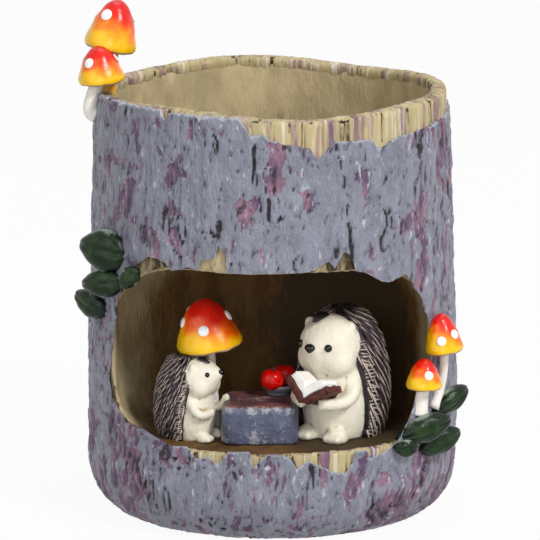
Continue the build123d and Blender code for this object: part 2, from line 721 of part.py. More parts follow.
with BuildPart() as upper_stem:
    upper_top = upper_seat.from_local_coords((0, 0, CAP_HOLLOW * SIDE_UPPER_CAP_HEIGHT))
    knee_level = (SIDE_STEM_FOOT + SIDE_UPPER_LEVEL) / 2
    upper_knee = wall_point(SIDE_UPPER_ANGLE + SIDE_UPPER_BOW, knee_level, SIDE_UPPER_STEM_RADIUS)
    add(stem(side_feet[0], upper_knee, upper_top, SIDE_UPPER_STEM_RADIUS))
    for piece in (trunk, upper_cap.part, lower_cap.part, lower_stem.part):
        add(piece, mode=Mode.SUBTRACT)
keep(upper_stem.part, "side_toadstool_upper_stem")

# Leaves: angle, level, length, width, thickness, spin and tilt of each
grown = [trunk]
for name, *sizes in LEFT_LEAVES:
    grown.append(leaf("left_leaf_" + name, *sizes, grown))
grown = [trunk, lower_stem.part, upper_stem.part, lower_cap.part]
for name, *sizes in RIGHT_LEAVES:
    grown.append(leaf("right_leaf_" + name, *sizes, grown))

# Table, dish and apples
with BuildPart() as table:
    with BuildSketch(Plane(den_point(TABLE_PLACE, DEN_FLOOR))) as plank:
        Rectangle(TABLE_LENGTH, TABLE_DEPTH)
        fillet(plank.vertices(), TABLE_CORNER)
    extrude(amount=TABLE_HEIGHT)
    fillet(table.faces().sort_by(Axis.Z)[-1].edges(), TABLE_ROUND)
keep(table.part, "log_table")

table_top = DEN_FLOOR + TABLE_HEIGHT
dish_seat = den_point(DISH_PLACE, table_top)
apples = []
for name, (x, y) in zip(("front", "back"), APPLE_PLACES):
    with BuildPart() as apple:
        with Locations(dish_seat + Vector(x, y, APPLE_LIFT + APPLE_RADIUS)):
            Sphere(APPLE_RADIUS)
    apples.append(keep(apple.part, "apple_" + name))

with BuildPart() as dish:
    with BuildSketch(Plane(dish_seat, x_dir=(1, 0, 0), z_dir=(0, -1, 0))):
        with BuildLine():
            Polyline(
                (0, 0),
                (DISH_FOOT_RADIUS, 0),
                (DISH_FOOT_RADIUS, DISH_FOOT_HEIGHT),
                (DISH_RADIUS, DISH_HEIGHT - DISH_WALL),
                (DISH_RADIUS, DISH_HEIGHT),
                (DISH_RADIUS - DISH_WALL, DISH_HEIGHT),
                (DISH_FOOT_RADIUS, DISH_FOOT_HEIGHT + 2 * DISH_WALL),
                (0, DISH_FOOT_HEIGHT + 2 * DISH_WALL),
                close=True,
            )
        make_face()
    revolve(axis=Axis(dish_seat, (0, 0, 1)))
    for apple in apples:
        add(apple, mode=Mode.SUBTRACT)
keep(dish.part, "fruit_dish")

# Parent hedgehog and its book
parent = Figure(PARENT_PLACE, PARENT_TURN, 1.0)
parent_body, parent_coat = hedgehog("parent", parent)

book_head = (parent.plane.z_dir * sin(radians(BOOK_PITCH))) - parent.plane.y_dir * cos(radians(BOOK_PITCH))
book_plane = Plane(parent.point(*BOOK_PLACE), x_dir=parent.plane.x_dir, z_dir=book_head)
board_run = BOOK_LEAF * cos(radians(BOOK_OPENING))
board_rise = BOOK_LEAF * sin(radians(BOOK_OPENING))
board_lean = (BOOK_COVER * sin(radians(BOOK_OPENING)), BOOK_COVER * cos(radians(BOOK_OPENING)))
page_share = 1 - BOOK_MARGIN / BOOK_LEAF

with BuildPart() as cover:
    with BuildSketch(book_plane):
        with BuildLine():
            Polyline(
                (0, 0),
                (BOOK_SPINE_HALF, 0),
                (BOOK_SPINE_HALF + board_run, board_rise),
                (BOOK_SPINE_HALF + board_run - board_lean[0], board_rise + board_lean[1]),
                (BOOK_SPINE_HALF - board_lean[0], board_lean[1]),
                (0, board_lean[1]),
            )
            mirror(about=Plane.YZ)
        make_face()
    extrude(amount=BOOK_SPINE / 2, both=True)
    add(parent_body, mode=Mode.SUBTRACT)

with BuildPart() as pages:
    with BuildSketch(book_plane):
        with BuildLine():
            inner = Vector(BOOK_SPINE_HALF - board_lean[0], board_lean[1])
            outer = inner + Vector(board_run, board_rise) * page_share
            swell = (inner + outer) / 2 + Vector(-board_lean[0], board_lean[1]) * (BOOK_PAGES / BOOK_COVER)
            fore = outer + Vector(-board_lean[0], board_lean[1]) * (BOOK_PAGES / BOOK_COVER / 2)
            Line((0, inner.Y), inner)
            Line(inner, outer)
            Line(outer, fore)
            ThreePointArc(fore, swell, (0, inner.Y + BOOK_PAGES / 2))
            mirror(about=Plane.YZ)
        make_face()
    extrude(amount=BOOK_SPINE / 2 - BOOK_MARGIN, both=True)
    for piece in (parent_body, cover.part):
        add(piece, mode=Mode.SUBTRACT)
keep(cover.part, "book_cover")
keep(pages.part, "book_pages")

parent_feet = feet("parent_feet", parent, (stump_body, parent_body, parent_coat, table.part))
held = [parent_body, parent_coat, cover.part, pages.part, parent_feet, dish.part, table.part]
held.append(arm("parent_left_arm", parent, -1, READING_PAW, held))
arm("parent_right_arm", parent, 1, READING_PAW, held)

# Umbrella toadstool and the young hedgehog under it
umbrella_lean = Vector(-sin(radians(UMBRELLA_LEAN)), 0, cos(radians(UMBRELLA_LEAN)))
umbrella_brim = den_point(UMBRELLA_PLACE, DEN_FLOOR + UMBRELLA_LEVEL)
umbrella_seat = Plane(umbrella_brim, x_dir=(1, 0, 0), z_dir=umbrella_lean)
umbrella_cap = toadstool_cap(umbrella_seat, UMBRELLA_CAP_RADIUS, UMBRELLA_CAP_HEIGHT)
keep(umbrella_cap, "umbrella_toadstool_cap")

young = Figure(YOUNG_PLACE, YOUNG_TURN, YOUNG_SCALE, YOUNG_PITCH)
young_body, young_coat = hedgehog("young", young, (umbrella_cap,))

with BuildPart() as umbrella_stem:
    umbrella_foot = den_point(UMBRELLA_FOOT, DEN_FLOOR)
    umbrella_top = umbrella_seat.from_local_coords((0, 0, CAP_HOLLOW * UMBRELLA_CAP_HEIGHT))
    add(stem(umbrella_foot, (umbrella_foot + umbrella_top) / 2, umbrella_top, UMBRELLA_STEM_RADIUS))
    for piece in (stump_body, umbrella_cap, young_body, young_coat, table.part):
        add(piece, mode=Mode.SUBTRACT)
keep(umbrella_stem.part, "umbrella_toadstool_stem")

young_feet = feet("young_feet", young, (stump_body, young_body, young_coat, table.part))
near = [young_body, young_coat, young_feet, umbrella_stem.part, table.part]
near.append(arm("young_near_arm", young, -1, RESTING_PAW, near))
arm("young_far_arm", young, 1, REACHING_PAW, near)

# White spots
rim_spots = (
    (tall_seat, RIM_TALL_CAP_RADIUS, RIM_TALL_CAP_HEIGHT, tall_cap, RIM_TALL_SPOTS),
    (short_seat, RIM_SHORT_CAP_RADIUS, RIM_SHORT_CAP_HEIGHT, short_cap.part, RIM_SHORT_SPOTS),
)
side_spots = (
    (upper_seat, SIDE_UPPER_CAP_RADIUS, SIDE_UPPER_CAP_HEIGHT, upper_cap.part, SIDE_UPPER_SPOTS),
    (lower_seat, SIDE_LOWER_CAP_RADIUS, SIDE_LOWER_CAP_HEIGHT, lower_cap.part, SIDE_LOWER_SPOTS),
)
umbrella_spots = ((umbrella_seat, UMBRELLA_CAP_RADIUS, UMBRELLA_CAP_HEIGHT, umbrella_cap, UMBRELLA_SPOTS),)
for name, groups in (("rim", rim_spots), ("side", side_spots), ("umbrella", umbrella_spots)):
    with BuildPart() as spots:
        for group in groups:
            add(toadstool_spots(*group))
    keep(spots.part, name + "_toadstool_spots")
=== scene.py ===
"""Looks of the tree-stump planter: bark over wood, a den with two hedgehogs, toadstools and leaves.

Meshes are shaped in millimetres, with the same names and sizes as the solids, and scaled to metres when they
are settled. Angles round the trunk are in degrees, 0 at the front and positive towards +X.
"""

import json
import math
import random

import bmesh
import bpy
from mathutils import Matrix, Vector, noise

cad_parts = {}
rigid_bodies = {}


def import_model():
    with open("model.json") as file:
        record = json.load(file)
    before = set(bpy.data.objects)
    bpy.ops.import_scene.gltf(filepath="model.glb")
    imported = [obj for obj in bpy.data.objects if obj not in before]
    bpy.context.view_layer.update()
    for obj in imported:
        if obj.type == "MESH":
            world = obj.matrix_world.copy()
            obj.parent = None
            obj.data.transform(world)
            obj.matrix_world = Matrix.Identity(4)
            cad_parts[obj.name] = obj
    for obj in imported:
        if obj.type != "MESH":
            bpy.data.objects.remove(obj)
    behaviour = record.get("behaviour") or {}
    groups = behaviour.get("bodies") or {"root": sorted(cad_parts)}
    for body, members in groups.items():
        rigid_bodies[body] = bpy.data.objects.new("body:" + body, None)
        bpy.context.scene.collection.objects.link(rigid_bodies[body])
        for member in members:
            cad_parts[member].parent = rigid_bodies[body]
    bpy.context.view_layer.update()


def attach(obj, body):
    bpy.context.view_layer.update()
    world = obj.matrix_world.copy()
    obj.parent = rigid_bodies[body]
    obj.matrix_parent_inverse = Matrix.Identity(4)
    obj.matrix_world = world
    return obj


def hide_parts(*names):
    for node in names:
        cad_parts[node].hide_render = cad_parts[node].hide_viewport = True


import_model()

MM = 0.001
BRUSH_DEPTH = 0.002  # deepest brush mark, in metres

# Trunk
STUMP_HEIGHT = 106.5
RIM_RADIUS = 44.8
GIRTH_RADIUS = 46.8
GIRTH_LEVEL = 30.0
FOOT_RADIUS = 38.0
HEEL_HEIGHT = 14.0
RIM_WAVES = ((3, 0.6, -40.0), (5, 0.35, -30.0))
WALL = 5.0
BASE_THICKNESS = 8.0
ROOM_ROUND = 9.0
DRAIN_RADIUS = 4.5
DRAIN_PLACE = 26.15
BARK = 1.2  # depth of the bark over the wood
STRETCH_LEVEL = 72.0  # above it the bark and the rim follow their uneven edges
RIM_BAND = 15.0  # how far the grained wood reaches down from the rim
RIM_CROWN = 0.7  # height of the rim's worn crown over the body
LIP_BAND = 7.5  # how far the grained wood reaches down from the den's floor

# Den
DEN_FLOOR = 23.0
DEN_TOP = 68.0
DEN_HALF_WIDTH = 39.5
DEN_MOUTH = 24.0
DEN_REACH = 29.0
DEN_WALL = 5.5
DEN_LOWER_ROUND = 14.0
DEN_UPPER_ROUND = 18.0

# Torn edge of the bark under the rim (angle, level), from the left of the den round to its right
BARK_TOP = (
    (-180, 100.5), (-155, 102.5), (-128, 100.5), (-112, 106), (-75, 106.6), (-62, 106.8), (-38, 107), (-36.4, 103.5),
    (-34, 106.8), (-10, 106.4), (-7, 102.1), (-3, 102.8), (0, 101), (12, 99), (15, 96.4), (20, 100.4), (32, 100.2),
    (37, 97.4), (42, 99.6), (60, 100.5), (77, 101.2), (90, 101.4), (110, 102.3), (126, 99), (150, 102.5), (180, 100.5),
)
# Torn edge of the bark round the den's mouth (angle, level), anticlockwise from the lower left
BARK_MOUTH = (
    (-53.8, 29), (-51, 27), (-42.4, 26.2), (-32, 23.4), (-26.8, 24), (-23.6, 21.2), (-19.6, 22), (-17.3, 20.4),
    (-14.9, 21.6), (-13.4, 23.6), (-6.7, 23.8), (-6, 19.8), (-3.7, 21.6), (-1.5, 23.2), (3.6, 23), (5.8, 21.8),
    (7.3, 19.6), (11, 21.5), (15.6, 19.6), (18.7, 18.2), (22.6, 17.6), (25.1, 20.2), (25.9, 22.8), (30.1, 22.8),
    (31, 20.6), (35.4, 21.2), (41.2, 23.3), (46.7, 28.6), (50, 33.5), (56.6, 38), (58, 45.6), (55.4, 53.3),
    (52.8, 58.1), (48.1, 62.8), (44.4, 65.4), (42.1, 65.2), (37.8, 64.3), (34.7, 65), (29.8, 67.4), (26.1, 68.2),
    (25.7, 70), (24.3, 72.4), (22.1, 73.2), (20.8, 71.3), (19.1, 69.4), (17.4, 71.1), (15.7, 70.6), (12.8, 69.2),
    (10.7, 68.8), (2.6, 68.6), (-9.5, 68.4), (-13.6, 68.4), (-14, 72.6), (-16.5, 75.5), (-17.2, 72), (-22.1, 71.2),
    (-22.8, 68.6), (-27, 69.2), (-28, 68.4), (-32.2, 67.8), (-34.1, 69.6), (-38.2, 70.2), (-40.4, 70.4),
    (-47.3, 67), (-52, 63), (-55.6, 57), (-57.6, 50), (-59.6, 43.6), (-60.5, 36.5), (-57.5, 31.5),
)


def ease(value):
    """0 below 0, 1 above 1 and a smooth step between."""
    value = min(max(value, 0.0), 1.0)
    return value * value * (3 - 2 * value)


def between(points, at):
    """Level of a broken line of (place, level) points."""
    for (left, low), (right, high) in zip(points, points[1:]):
        if left <= at <= right:
            return low + (high - low) * (at - left) / (right - left)
    return points[-1][1]


def grain(place, across, along, shift=0.0):
    """Noise stretched up the trunk: its width and its height in millimetres."""
    return noise.noise(Vector((place.x / across, place.y / across, place.z / along + shift)))


def wave(waves, angle):
    """Sum of cosine waves round the trunk."""
    return sum(height * math.cos(math.radians(count * (angle - start))) for count, height, start in waves)


def angle_of(place):
    """Angle of a point round the trunk."""
    return math.degrees(math.atan2(place.x, -place.y))


def trunk_radius(level):
    """Outside radius of the bark at a level."""
    if level < HEEL_HEIGHT:
        turn = math.acos(1 - max(level, 0) / HEEL_HEIGHT)
        return FOOT_RADIUS + (GIRTH_RADIUS - FOOT_RADIUS) * math.sin(turn)
    if level < GIRTH_LEVEL:
        return GIRTH_RADIUS
    rise = (level - GIRTH_LEVEL) / (STUMP_HEIGHT - GIRTH_LEVEL)
    return GIRTH_RADIUS + (RIM_RADIUS - GIRTH_RADIUS) * rise


def wall_point(angle, level, out=0.0):
    """Point on the trunk's outside, or that far outside it."""
    radius = trunk_radius(level) + out
    return Vector((radius * math.sin(math.radians(angle)), -radius * math.cos(math.radians(angle)), level))


def outward(angle, lift=0.0):
    """Direction away from the trunk's axis, lifted above the horizon."""
    flat = math.cos(math.radians(lift))
    turn = math.radians(angle)
    return Vector((flat * math.sin(turn), -flat * math.cos(turn), math.sin(math.radians(lift))))


def seat_matrix(origin, up, along=Vector((1, 0, 0))):
    """Placing matrix with Z up its axis and X as near as it can be to a direction."""
    up = up.normalized()
    side = (along - up * along.dot(up)).normalized()
    turn = Matrix((side, up.cross(side), up)).transposed().to_4x4()
    return Matrix.Translation(origin) @ turn


# Mesh tools


def as_object(bm):
    """Working object that holds a bmesh."""
    mesh = bpy.data.meshes.new("work")
    bm.to_mesh(mesh)
    bm.free()
    work = bpy.data.objects.new("work", mesh)
    bpy.context.collection.objects.link(work)
    return work


def drop(work):
    """Removes a working object."""
    mesh = work.data
    bpy.data.objects.remove(work)
    bpy.data.meshes.remove(mesh)


def applied(work):
    """The bmesh of a working object with its modifiers applied."""
    shaped = work.evaluated_get(bpy.context.evaluated_depsgraph_get())
    mesh = bpy.data.meshes.new_from_object(shaped)
    bm = bmesh.new()
    bm.from_mesh(mesh)
    bpy.data.meshes.remove(mesh)
    drop(work)
    return bm


def carve(bm, tool, operation="DIFFERENCE"):
    """Cuts one closed mesh with another."""
    body = as_object(bm)
    cutter = as_object(tool)
    cut = body.modifiers.new("cut", "BOOLEAN")
    cut.operation = operation
    cut.solver = "MANIFOLD"
    cut.object = cutter
    result = applied(body)
    drop(cutter)
    return result


def remeshed(bm, voxel, smoothing=0):
    """One even skin round everything in a mesh, smoothed."""
    body = as_object(bm)
    skin = body.modifiers.new("skin", "REMESH")
    skin.mode = "VOXEL"
    skin.voxel_size = voxel
    result = applied(body)
    for _ in range(smoothing):
        bmesh.ops.smooth_vert(
            result, verts=result.verts, factor=0.5, use_axis_x=True, use_axis_y=True, use_axis_z=True
        )
    return result


def turned(profile, steps, closed=False, matrix=None):
    """Turns a profile of (radius, level) points about Z."""
    bm = bmesh.new()
    line = [bm.verts.new((radius, 0, level)) for radius, level in profile]
    pairs = list(zip(line, line[1:])) + ([(line[-1], line[0])] if closed else [])
    edges = [bm.edges.new(pair) for pair in pairs]
    bmesh.ops.spin(
        bm, geom=line + edges, cent=(0, 0, 0), axis=(0, 0, 1), angle=math.tau, steps=steps, use_merge=True
    )
    bmesh.ops.remove_doubles(bm, verts=bm.verts, dist=0.001)
    bmesh.ops.recalc_face_normals(bm, faces=bm.faces)
    if matrix:
        bmesh.ops.transform(bm, matrix=matrix, verts=bm.verts)
    return bm


def merge(bm, other):
    """Adds another bmesh to one, and frees it."""
    mesh = bpy.data.meshes.new("work")
    other.to_mesh(mesh)
    other.free()
    bm.from_mesh(mesh)
    bpy.data.meshes.remove(mesh)


def tube(bm, stations, segments=20):
    """Tapered tube through (point, radius) stations, with closed ends."""
    rings = []
    points = [Vector(point) for point, radius in stations]
    for i, (point, radius) in enumerate(stations):
        along = points[min(i + 1, len(points) - 1)] - points[max(i - 1, 0)]
        place = seat_matrix(Vector(point), along)
        made = bmesh.ops.create_circle(bm, cap_ends=False, segments=segments, radius=radius, matrix=place)
        rings.append(list({edge for vert in made["verts"] for edge in vert.link_edges}))
    for low, high in zip(rings, rings[1:]):
        bmesh.ops.bridge_loops(bm, edges=low + high)
    bmesh.ops.holes_fill(bm, edges=rings[0] + rings[-1], sides=segments)


def bend(points, steps):
    """Points along a smooth curve through three points."""
    first, middle, last = (Vector(point) for point in points)
    control = middle * 2 - (first + last) / 2
    shares = [i / steps for i in range(steps + 1)]
    return [first * (1 - t) ** 2 + control * 2 * t * (1 - t) + last * t * t for t in shares]


def tag(bm, relief=None, cover=None):
    """Writes two paint masks on every vertex: high or low relief, and a second colour's cover."""
    for name, rule in (("relief", relief), ("cover", cover)):
        layer = bm.verts.layers.float.get(name) or bm.verts.layers.float.new(name)
        if rule is not None:
            for vert in bm.verts:
                vert[layer] = min(max(rule(vert), 0.0), 1.0)


def press(bm, rule, low=0.5, gain=1.0):
    """Moves every vertex along its normal by a rule of its place, and keeps that as relief."""
    bm.normal_update()
    layer = bm.verts.layers.float.get("relief") or bm.verts.layers.float.new("relief")
    moves = [(vert, rule(vert.co), vert.normal.copy()) for vert in bm.verts]
    for vert, height, normal in moves:
        vert.co += normal * height
        vert[layer] = min(max(low + gain * height, 0.0), 1.0)


def settle(name, bm, materials, slot, *nodes):
    """Finishes a piece: scales it to metres, and sets it on the body in place of its solids."""
    tag(bm)
    bmesh.ops.scale(bm, vec=(MM, MM, MM), verts=bm.verts)
    mesh = bpy.data.meshes.new(name)
    bm.to_mesh(mesh)
    bm.free()
    for material in materials:
        mesh.materials.append(material)
    mesh.shade_smooth()
    piece = bpy.data.objects.new(name, mesh)
    bpy.context.collection.objects.link(piece)
    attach(piece, "root")
    if nodes:
        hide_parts(*nodes)
    return piece


# Paint


def paint(red, green, blue):
    """Linear colour of a paint given in display values from 0 to 255."""
    shares = [value / 255 for value in (red, green, blue)]
    return (*[((s + 0.055) / 1.055) ** 2.4 if s > 0.04045 else s / 12.92 for s in shares], 1.0)


def add_node(tree, kind, inputs=None, **settings):
    """Adds a node, sets it, and fills its inputs from values or sockets."""
    item = tree.nodes.new(kind)
    for key, value in settings.items():
        setattr(item, key, value)
    for key, value in (inputs or {}).items():
        if isinstance(value, bpy.types.NodeSocket):
            tree.links.new(value, item.inputs[key])
        else:
            item.inputs[key].default_value = value
    return item


def mixed(tree, factor, first, second, blend="MIX"):
    """Colour mixed from two colours."""
    item = add_node(tree, "ShaderNodeMix", data_type="RGBA", blend_type=blend)
    for index, value in ((0, factor), (6, first), (7, second)):
        if isinstance(value, bpy.types.NodeSocket):
            tree.links.new(value, item.inputs[index])
        else:
            item.inputs[index].default_value = value
    return item.outputs[2]


def ranged(tree, value, low, high, out_low=0.0, out_high=1.0):
    """Value taken smoothly from one range to another."""
    item = add_node(
        tree,
        "ShaderNodeMapRange",
        {"Value": value, "From Min": low, "From Max": high, "To Min": out_low, "To Max": out_high},
        interpolation_type="SMOOTHSTEP",
    )
    return item.outputs["Result"]


def maths(tree, operation, first, second):
    """One step of arithmetic between values."""
    item = add_node(tree, "ShaderNodeMath", operation=operation)
    for index, value in ((0, first), (1, second)):
        if isinstance(value, bpy.types.NodeSocket):
            tree.links.new(value, item.inputs[index])
        else:
            item.inputs[index].default_value = value
    return item.outputs[0]


def hand_paint_group():
    """Hand painting: a mottled base, a second colour, a dark wash in the hollows and dry brush on the edges, which
    also paint shade and highlights.
    """
    tree = bpy.data.node_groups.new("Hand painting", "ShaderNodeTree")
    sockets = tree.interface
    for name in ("Base", "Second", "Third", "Wash and shade", "Brush"):
        sockets.new_socket(name, in_out="INPUT", socket_type="NodeSocketColor")
    for name in ("Relief", "Cover", "Grain", "Upright", "Mottle", "Fleck", "Feather", "Dullness"):
        sockets.new_socket(name, in_out="INPUT", socket_type="NodeSocketFloat")
    sockets.new_socket("Color", in_out="OUTPUT", socket_type="NodeSocketColor")
    sockets.new_socket("Roughness", in_out="OUTPUT", socket_type="NodeSocketFloat")
    sockets.new_socket("Height", in_out="OUTPUT", socket_type="NodeSocketFloat")
    given = add_node(tree, "NodeGroupInput").outputs
    place = add_node(tree, "ShaderNodeTexCoord").outputs["Object"]
    drawn = add_node(tree, "ShaderNodeCombineXYZ", {"X": 1.0, "Y": 1.0, "Z": given["Upright"]}).outputs[0]
    place = add_node(tree, "ShaderNodeVectorMath", {0: place, 1: drawn}, operation="MULTIPLY").outputs[0]
    broad = add_node(
        tree, "ShaderNodeTexNoise", {"Vector": place, "Scale": given["Grain"], "Detail": 5.0, "Roughness": 0.6}
    ).outputs["Fac"]
    close = maths(tree, "MULTIPLY", given["Grain"], 5.0)
    fine = add_node(
        tree, "ShaderNodeTexNoise", {"Vector": place, "Scale": close, "Detail": 4.0, "Roughness": 0.65}
    ).outputs["Fac"]
    speckle = maths(tree, "SUBTRACT", fine, 0.5)
    relief = maths(tree, "ADD", given["Relief"], maths(tree, "MULTIPLY", speckle, given["Fleck"]))
    cover = maths(tree, "ADD", given["Cover"], maths(tree, "MULTIPLY", speckle, given["Fleck"]))
    lower = maths(tree, "SUBTRACT", 0.5, given["Feather"])
    upper = maths(tree, "ADD", 0.5, given["Feather"])
    tone = ranged(tree, broad, 0.3, 0.7, -1.0, 1.0)
    shade = maths(tree, "MULTIPLY_ADD", tone, given["Mottle"])
    shade.node.inputs[2].default_value = 1.0
    grey = add_node(tree, "ShaderNodeCombineColor", {"Red": shade, "Green": shade, "Blue": shade}).outputs[0]
    under = mixed(tree, ranged(tree, broad, 0.42, 0.6), given["Second"], given["Third"])
    coat = mixed(tree, ranged(tree, cover, lower, upper), given["Base"], under)
    coat = mixed(tree, 1.0, coat, grey, "MULTIPLY")
    coat = mixed(tree, ranged(tree, relief, 0.40, 0.08), coat, given["Wash and shade"])
    coat = mixed(tree, ranged(tree, relief, 0.66, 0.95, 0.0, 0.85), coat, given["Brush"])
    rough = maths(tree, "MULTIPLY_ADD", speckle, 0.35)
    tree.links.new(given["Dullness"], rough.node.inputs[2])
    height = maths(tree, "MULTIPLY_ADD", fine, 0.6)
    tree.links.new(maths(tree, "MULTIPLY", broad, 0.4), height.node.inputs[2])
    add_node(tree, "NodeGroupOutput", {"Color": coat, "Roughness": rough, "Height": height})
    return tree


HAND_PAINT = hand_paint_group()


def new_material(name):
    """Empty node material and its shader."""
    material = bpy.data.materials.new(name)
    material.use_nodes = True
    return material, material.node_tree, material.node_tree.nodes["Principled BSDF"]


def hand_painted(
    name, colours, grain_scale, mottle, dullness, bump=0.15, coat=0.0, upright=1.0, fleck=0.7, feather=0.15, shine=0.4
):
    """Painted resin with its own colours: base, second and third, wash and shade, brush and highlight."""
    material, tree, shader = new_material(name)
    relief = add_node(tree, "ShaderNodeAttribute", attribute_name="relief").outputs["Fac"]
    cover = add_node(tree, "ShaderNodeAttribute", attribute_name="cover").outputs["Fac"]
    finish = add_node(tree, "ShaderNodeGroup", node_tree=HAND_PAINT)
    for key, colour in zip(("Base", "Second", "Third", "Wash and shade", "Brush"), colours):
        finish.inputs[key].default_value = paint(*colour)
    values = {"Grain": grain_scale, "Upright": upright, "Mottle": mottle, "Fleck": fleck, "Feather": feather}
    for key, value in (values | {"Dullness": dullness}).items():
        finish.inputs[key].default_value = value
    tree.links.new(relief, finish.inputs["Relief"])
    tree.links.new(cover, finish.inputs["Cover"])
    raised = add_node(
        tree, "ShaderNodeBump", {"Strength": bump, "Distance": BRUSH_DEPTH, "Height": finish.outputs["Height"]}
    )
    tree.links.new(finish.outputs["Color"], shader.inputs["Base Color"])
    tree.links.new(finish.outputs["Roughness"], shader.inputs["Roughness"])
    tree.links.new(raised.outputs["Normal"], shader.inputs["Normal"])
    shader.inputs["Specular IOR Level"].default_value = shine
    shader.inputs["Coat Weight"].default_value = coat
    shader.inputs["Coat Roughness"].default_value = 0.15
    return material


def glazed_cap():
    """Toadstool glaze that runs from a yellow brim through orange to a red crown."""
    material, tree, shader = new_material("Toadstool glaze")
    blush = add_node(tree, "ShaderNodeAttribute", attribute_name="relief").outputs["Fac"]
    place = add_node(tree, "ShaderNodeTexCoord").outputs["Object"]
    streak = add_node(
        tree, "ShaderNodeTexNoise", {"Vector": place, "Scale": 420.0, "Detail": 5.0, "Roughness": 0.7}
    ).outputs["Fac"]
    run = maths(tree, "ADD", blush, maths(tree, "MULTIPLY", maths(tree, "SUBTRACT", streak, 0.5), 0.35))
    ramp = add_node(tree, "ShaderNodeValToRGB", {"Fac": run})
    stops = ((0.0, (244, 196, 10)), (0.25, (252, 190, 0)), (0.5, (250, 106, 0)), (0.72, (226, 26, 4)), (1.0, (204, 8, 4)))
    while len(ramp.color_ramp.elements) < len(stops):
        ramp.color_ramp.elements.new(0.5)
    for element, (position, colour) in zip(ramp.color_ramp.elements, stops):
        element.position = position
        element.color = paint(*colour)
    raised = add_node(tree, "ShaderNodeBump", {"Strength": 0.12, "Distance": MM, "Height": streak})
    tree.links.new(ramp.outputs["Color"], shader.inputs["Base Color"])
    tree.links.new(ranged(tree, streak, 0.2, 0.8, 0.16, 0.34), shader.inputs["Roughness"])
    tree.links.new(raised.outputs["Normal"], shader.inputs["Normal"])
    shader.inputs["Specular IOR Level"].default_value = 0.4
    shader.inputs["Coat Weight"].default_value = 0.08
    shader.inputs["Coat Roughness"].default_value = 0.08
    return material


# The bark's brush colour also paints highlights round the peeled patches.
BARK_PAINT = hand_painted(
    "Bark paint", ((134, 136, 150), (104, 80, 110), (140, 106, 124), (30, 25, 32), (196, 199, 210)),
    260.0, 0.16, 0.42, bump=0.9, upright=0.4, fleck=0.9, feather=0.16, shine=0.5,
)
# The second and third browns are the den's paint, laid on as painted shade deeper inside the den; the wash also paints
# its shadow.
WOOD_PAINT = hand_painted(
    "Wood paint", ((184, 168, 132), (110, 80, 42), (84, 56, 22), (60, 46, 26), (214, 206, 184)),
    190.0, 0.16, 0.7, bump=0.35, upright=0.4, fleck=0.6, feather=0.5, shine=0.25,
)
RIM_PAINT = hand_painted(
    "Split wood paint", ((186, 170, 128), (118, 88, 112), (150, 112, 122), (44, 32, 18), (222, 214, 196)),
    260.0, 0.14, 0.6, bump=0.7, upright=0.12, fleck=0.8, feather=0.2,
)
STEM_PAINT = hand_painted(
    "Stem paint", ((236, 230, 222), (236, 176, 60), (238, 140, 30), (168, 132, 96), (248, 244, 238)),
    260.0, 0.06, 0.45, upright=0.4,
)
# The fur's wash also paints the shade in its folds.
FUR_PAINT = hand_painted(
    "Fur paint", ((228, 221, 202), (220, 204, 172), (212, 190, 150), (176, 152, 112), (244, 240, 228)),
    300.0, 0.06, 0.5, bump=0.2, upright=0.6, fleck=0.3,
)
QUILL_PAINT = hand_painted(
    "Quill paint", ((66, 54, 60), (52, 42, 46), (44, 34, 40), (24, 18, 20), (214, 198, 184)),
    320.0, 0.2, 0.45, fleck=0.35, shine=0.3,
)
# The leaves' brush colour is a painted highlight along their edges.
LEAF_PAINT = hand_painted(
    "Leaf paint", ((12, 24, 17), (26, 50, 20), (44, 70, 26), (5, 9, 6), (150, 166, 148)),
    260.0, 0.25, 0.17, fleck=0.5, feather=0.4, shine=0.2,
)
TABLE_PAINT = hand_painted(
    "Table paint", ((78, 84, 106), (92, 66, 72), (106, 62, 58), (34, 32, 40), (168, 166, 172)),
    240.0, 0.3, 0.34, bump=0.4, coat=0.1, fleck=1.0, feather=0.3,
)
DISH_PAINT = hand_painted(
    "Dish paint", ((96, 94, 104), (140, 120, 96), (120, 100, 90), (44, 40, 46), (186, 176, 166)),
    300.0, 0.15, 0.4,
)
APPLE_PAINT = hand_painted(
    "Fruit paint", ((192, 8, 4), (200, 24, 8), (206, 34, 10), (110, 4, 2), (206, 20, 12)),
    280.0, 0.1, 0.16, bump=0.02, shine=0.25,
)
COVER_PAINT = hand_painted(
    "Book cover paint", ((78, 26, 20), (44, 14, 12), (60, 20, 14), (22, 6, 6), (128, 74, 58)),
    340.0, 0.2, 0.32, bump=0.4, shine=0.3,
)
PAGE_PAINT = hand_painted(
    "Page paint", ((242, 240, 234), (206, 190, 160), (190, 170, 140), (120, 92, 66), (252, 250, 246)),
    320.0, 0.04, 0.5,
)
EYE_PAINT = hand_painted(
    "Eye paint", ((14, 12, 12), (20, 16, 16), (24, 20, 20), (4, 4, 4), (40, 36, 36)),
    400.0, 0.1, 0.12, bump=0.03, shine=0.4,
)
SPOT_PAINT = hand_painted(
    "Spot paint", ((247, 247, 246), (236, 232, 224), (230, 226, 220), (206, 196, 180), (253, 253, 252)),
    380.0, 0.02, 0.2, bump=0.05, coat=0.6,
)
CAP_GLAZE = glazed_cap()


# Stump


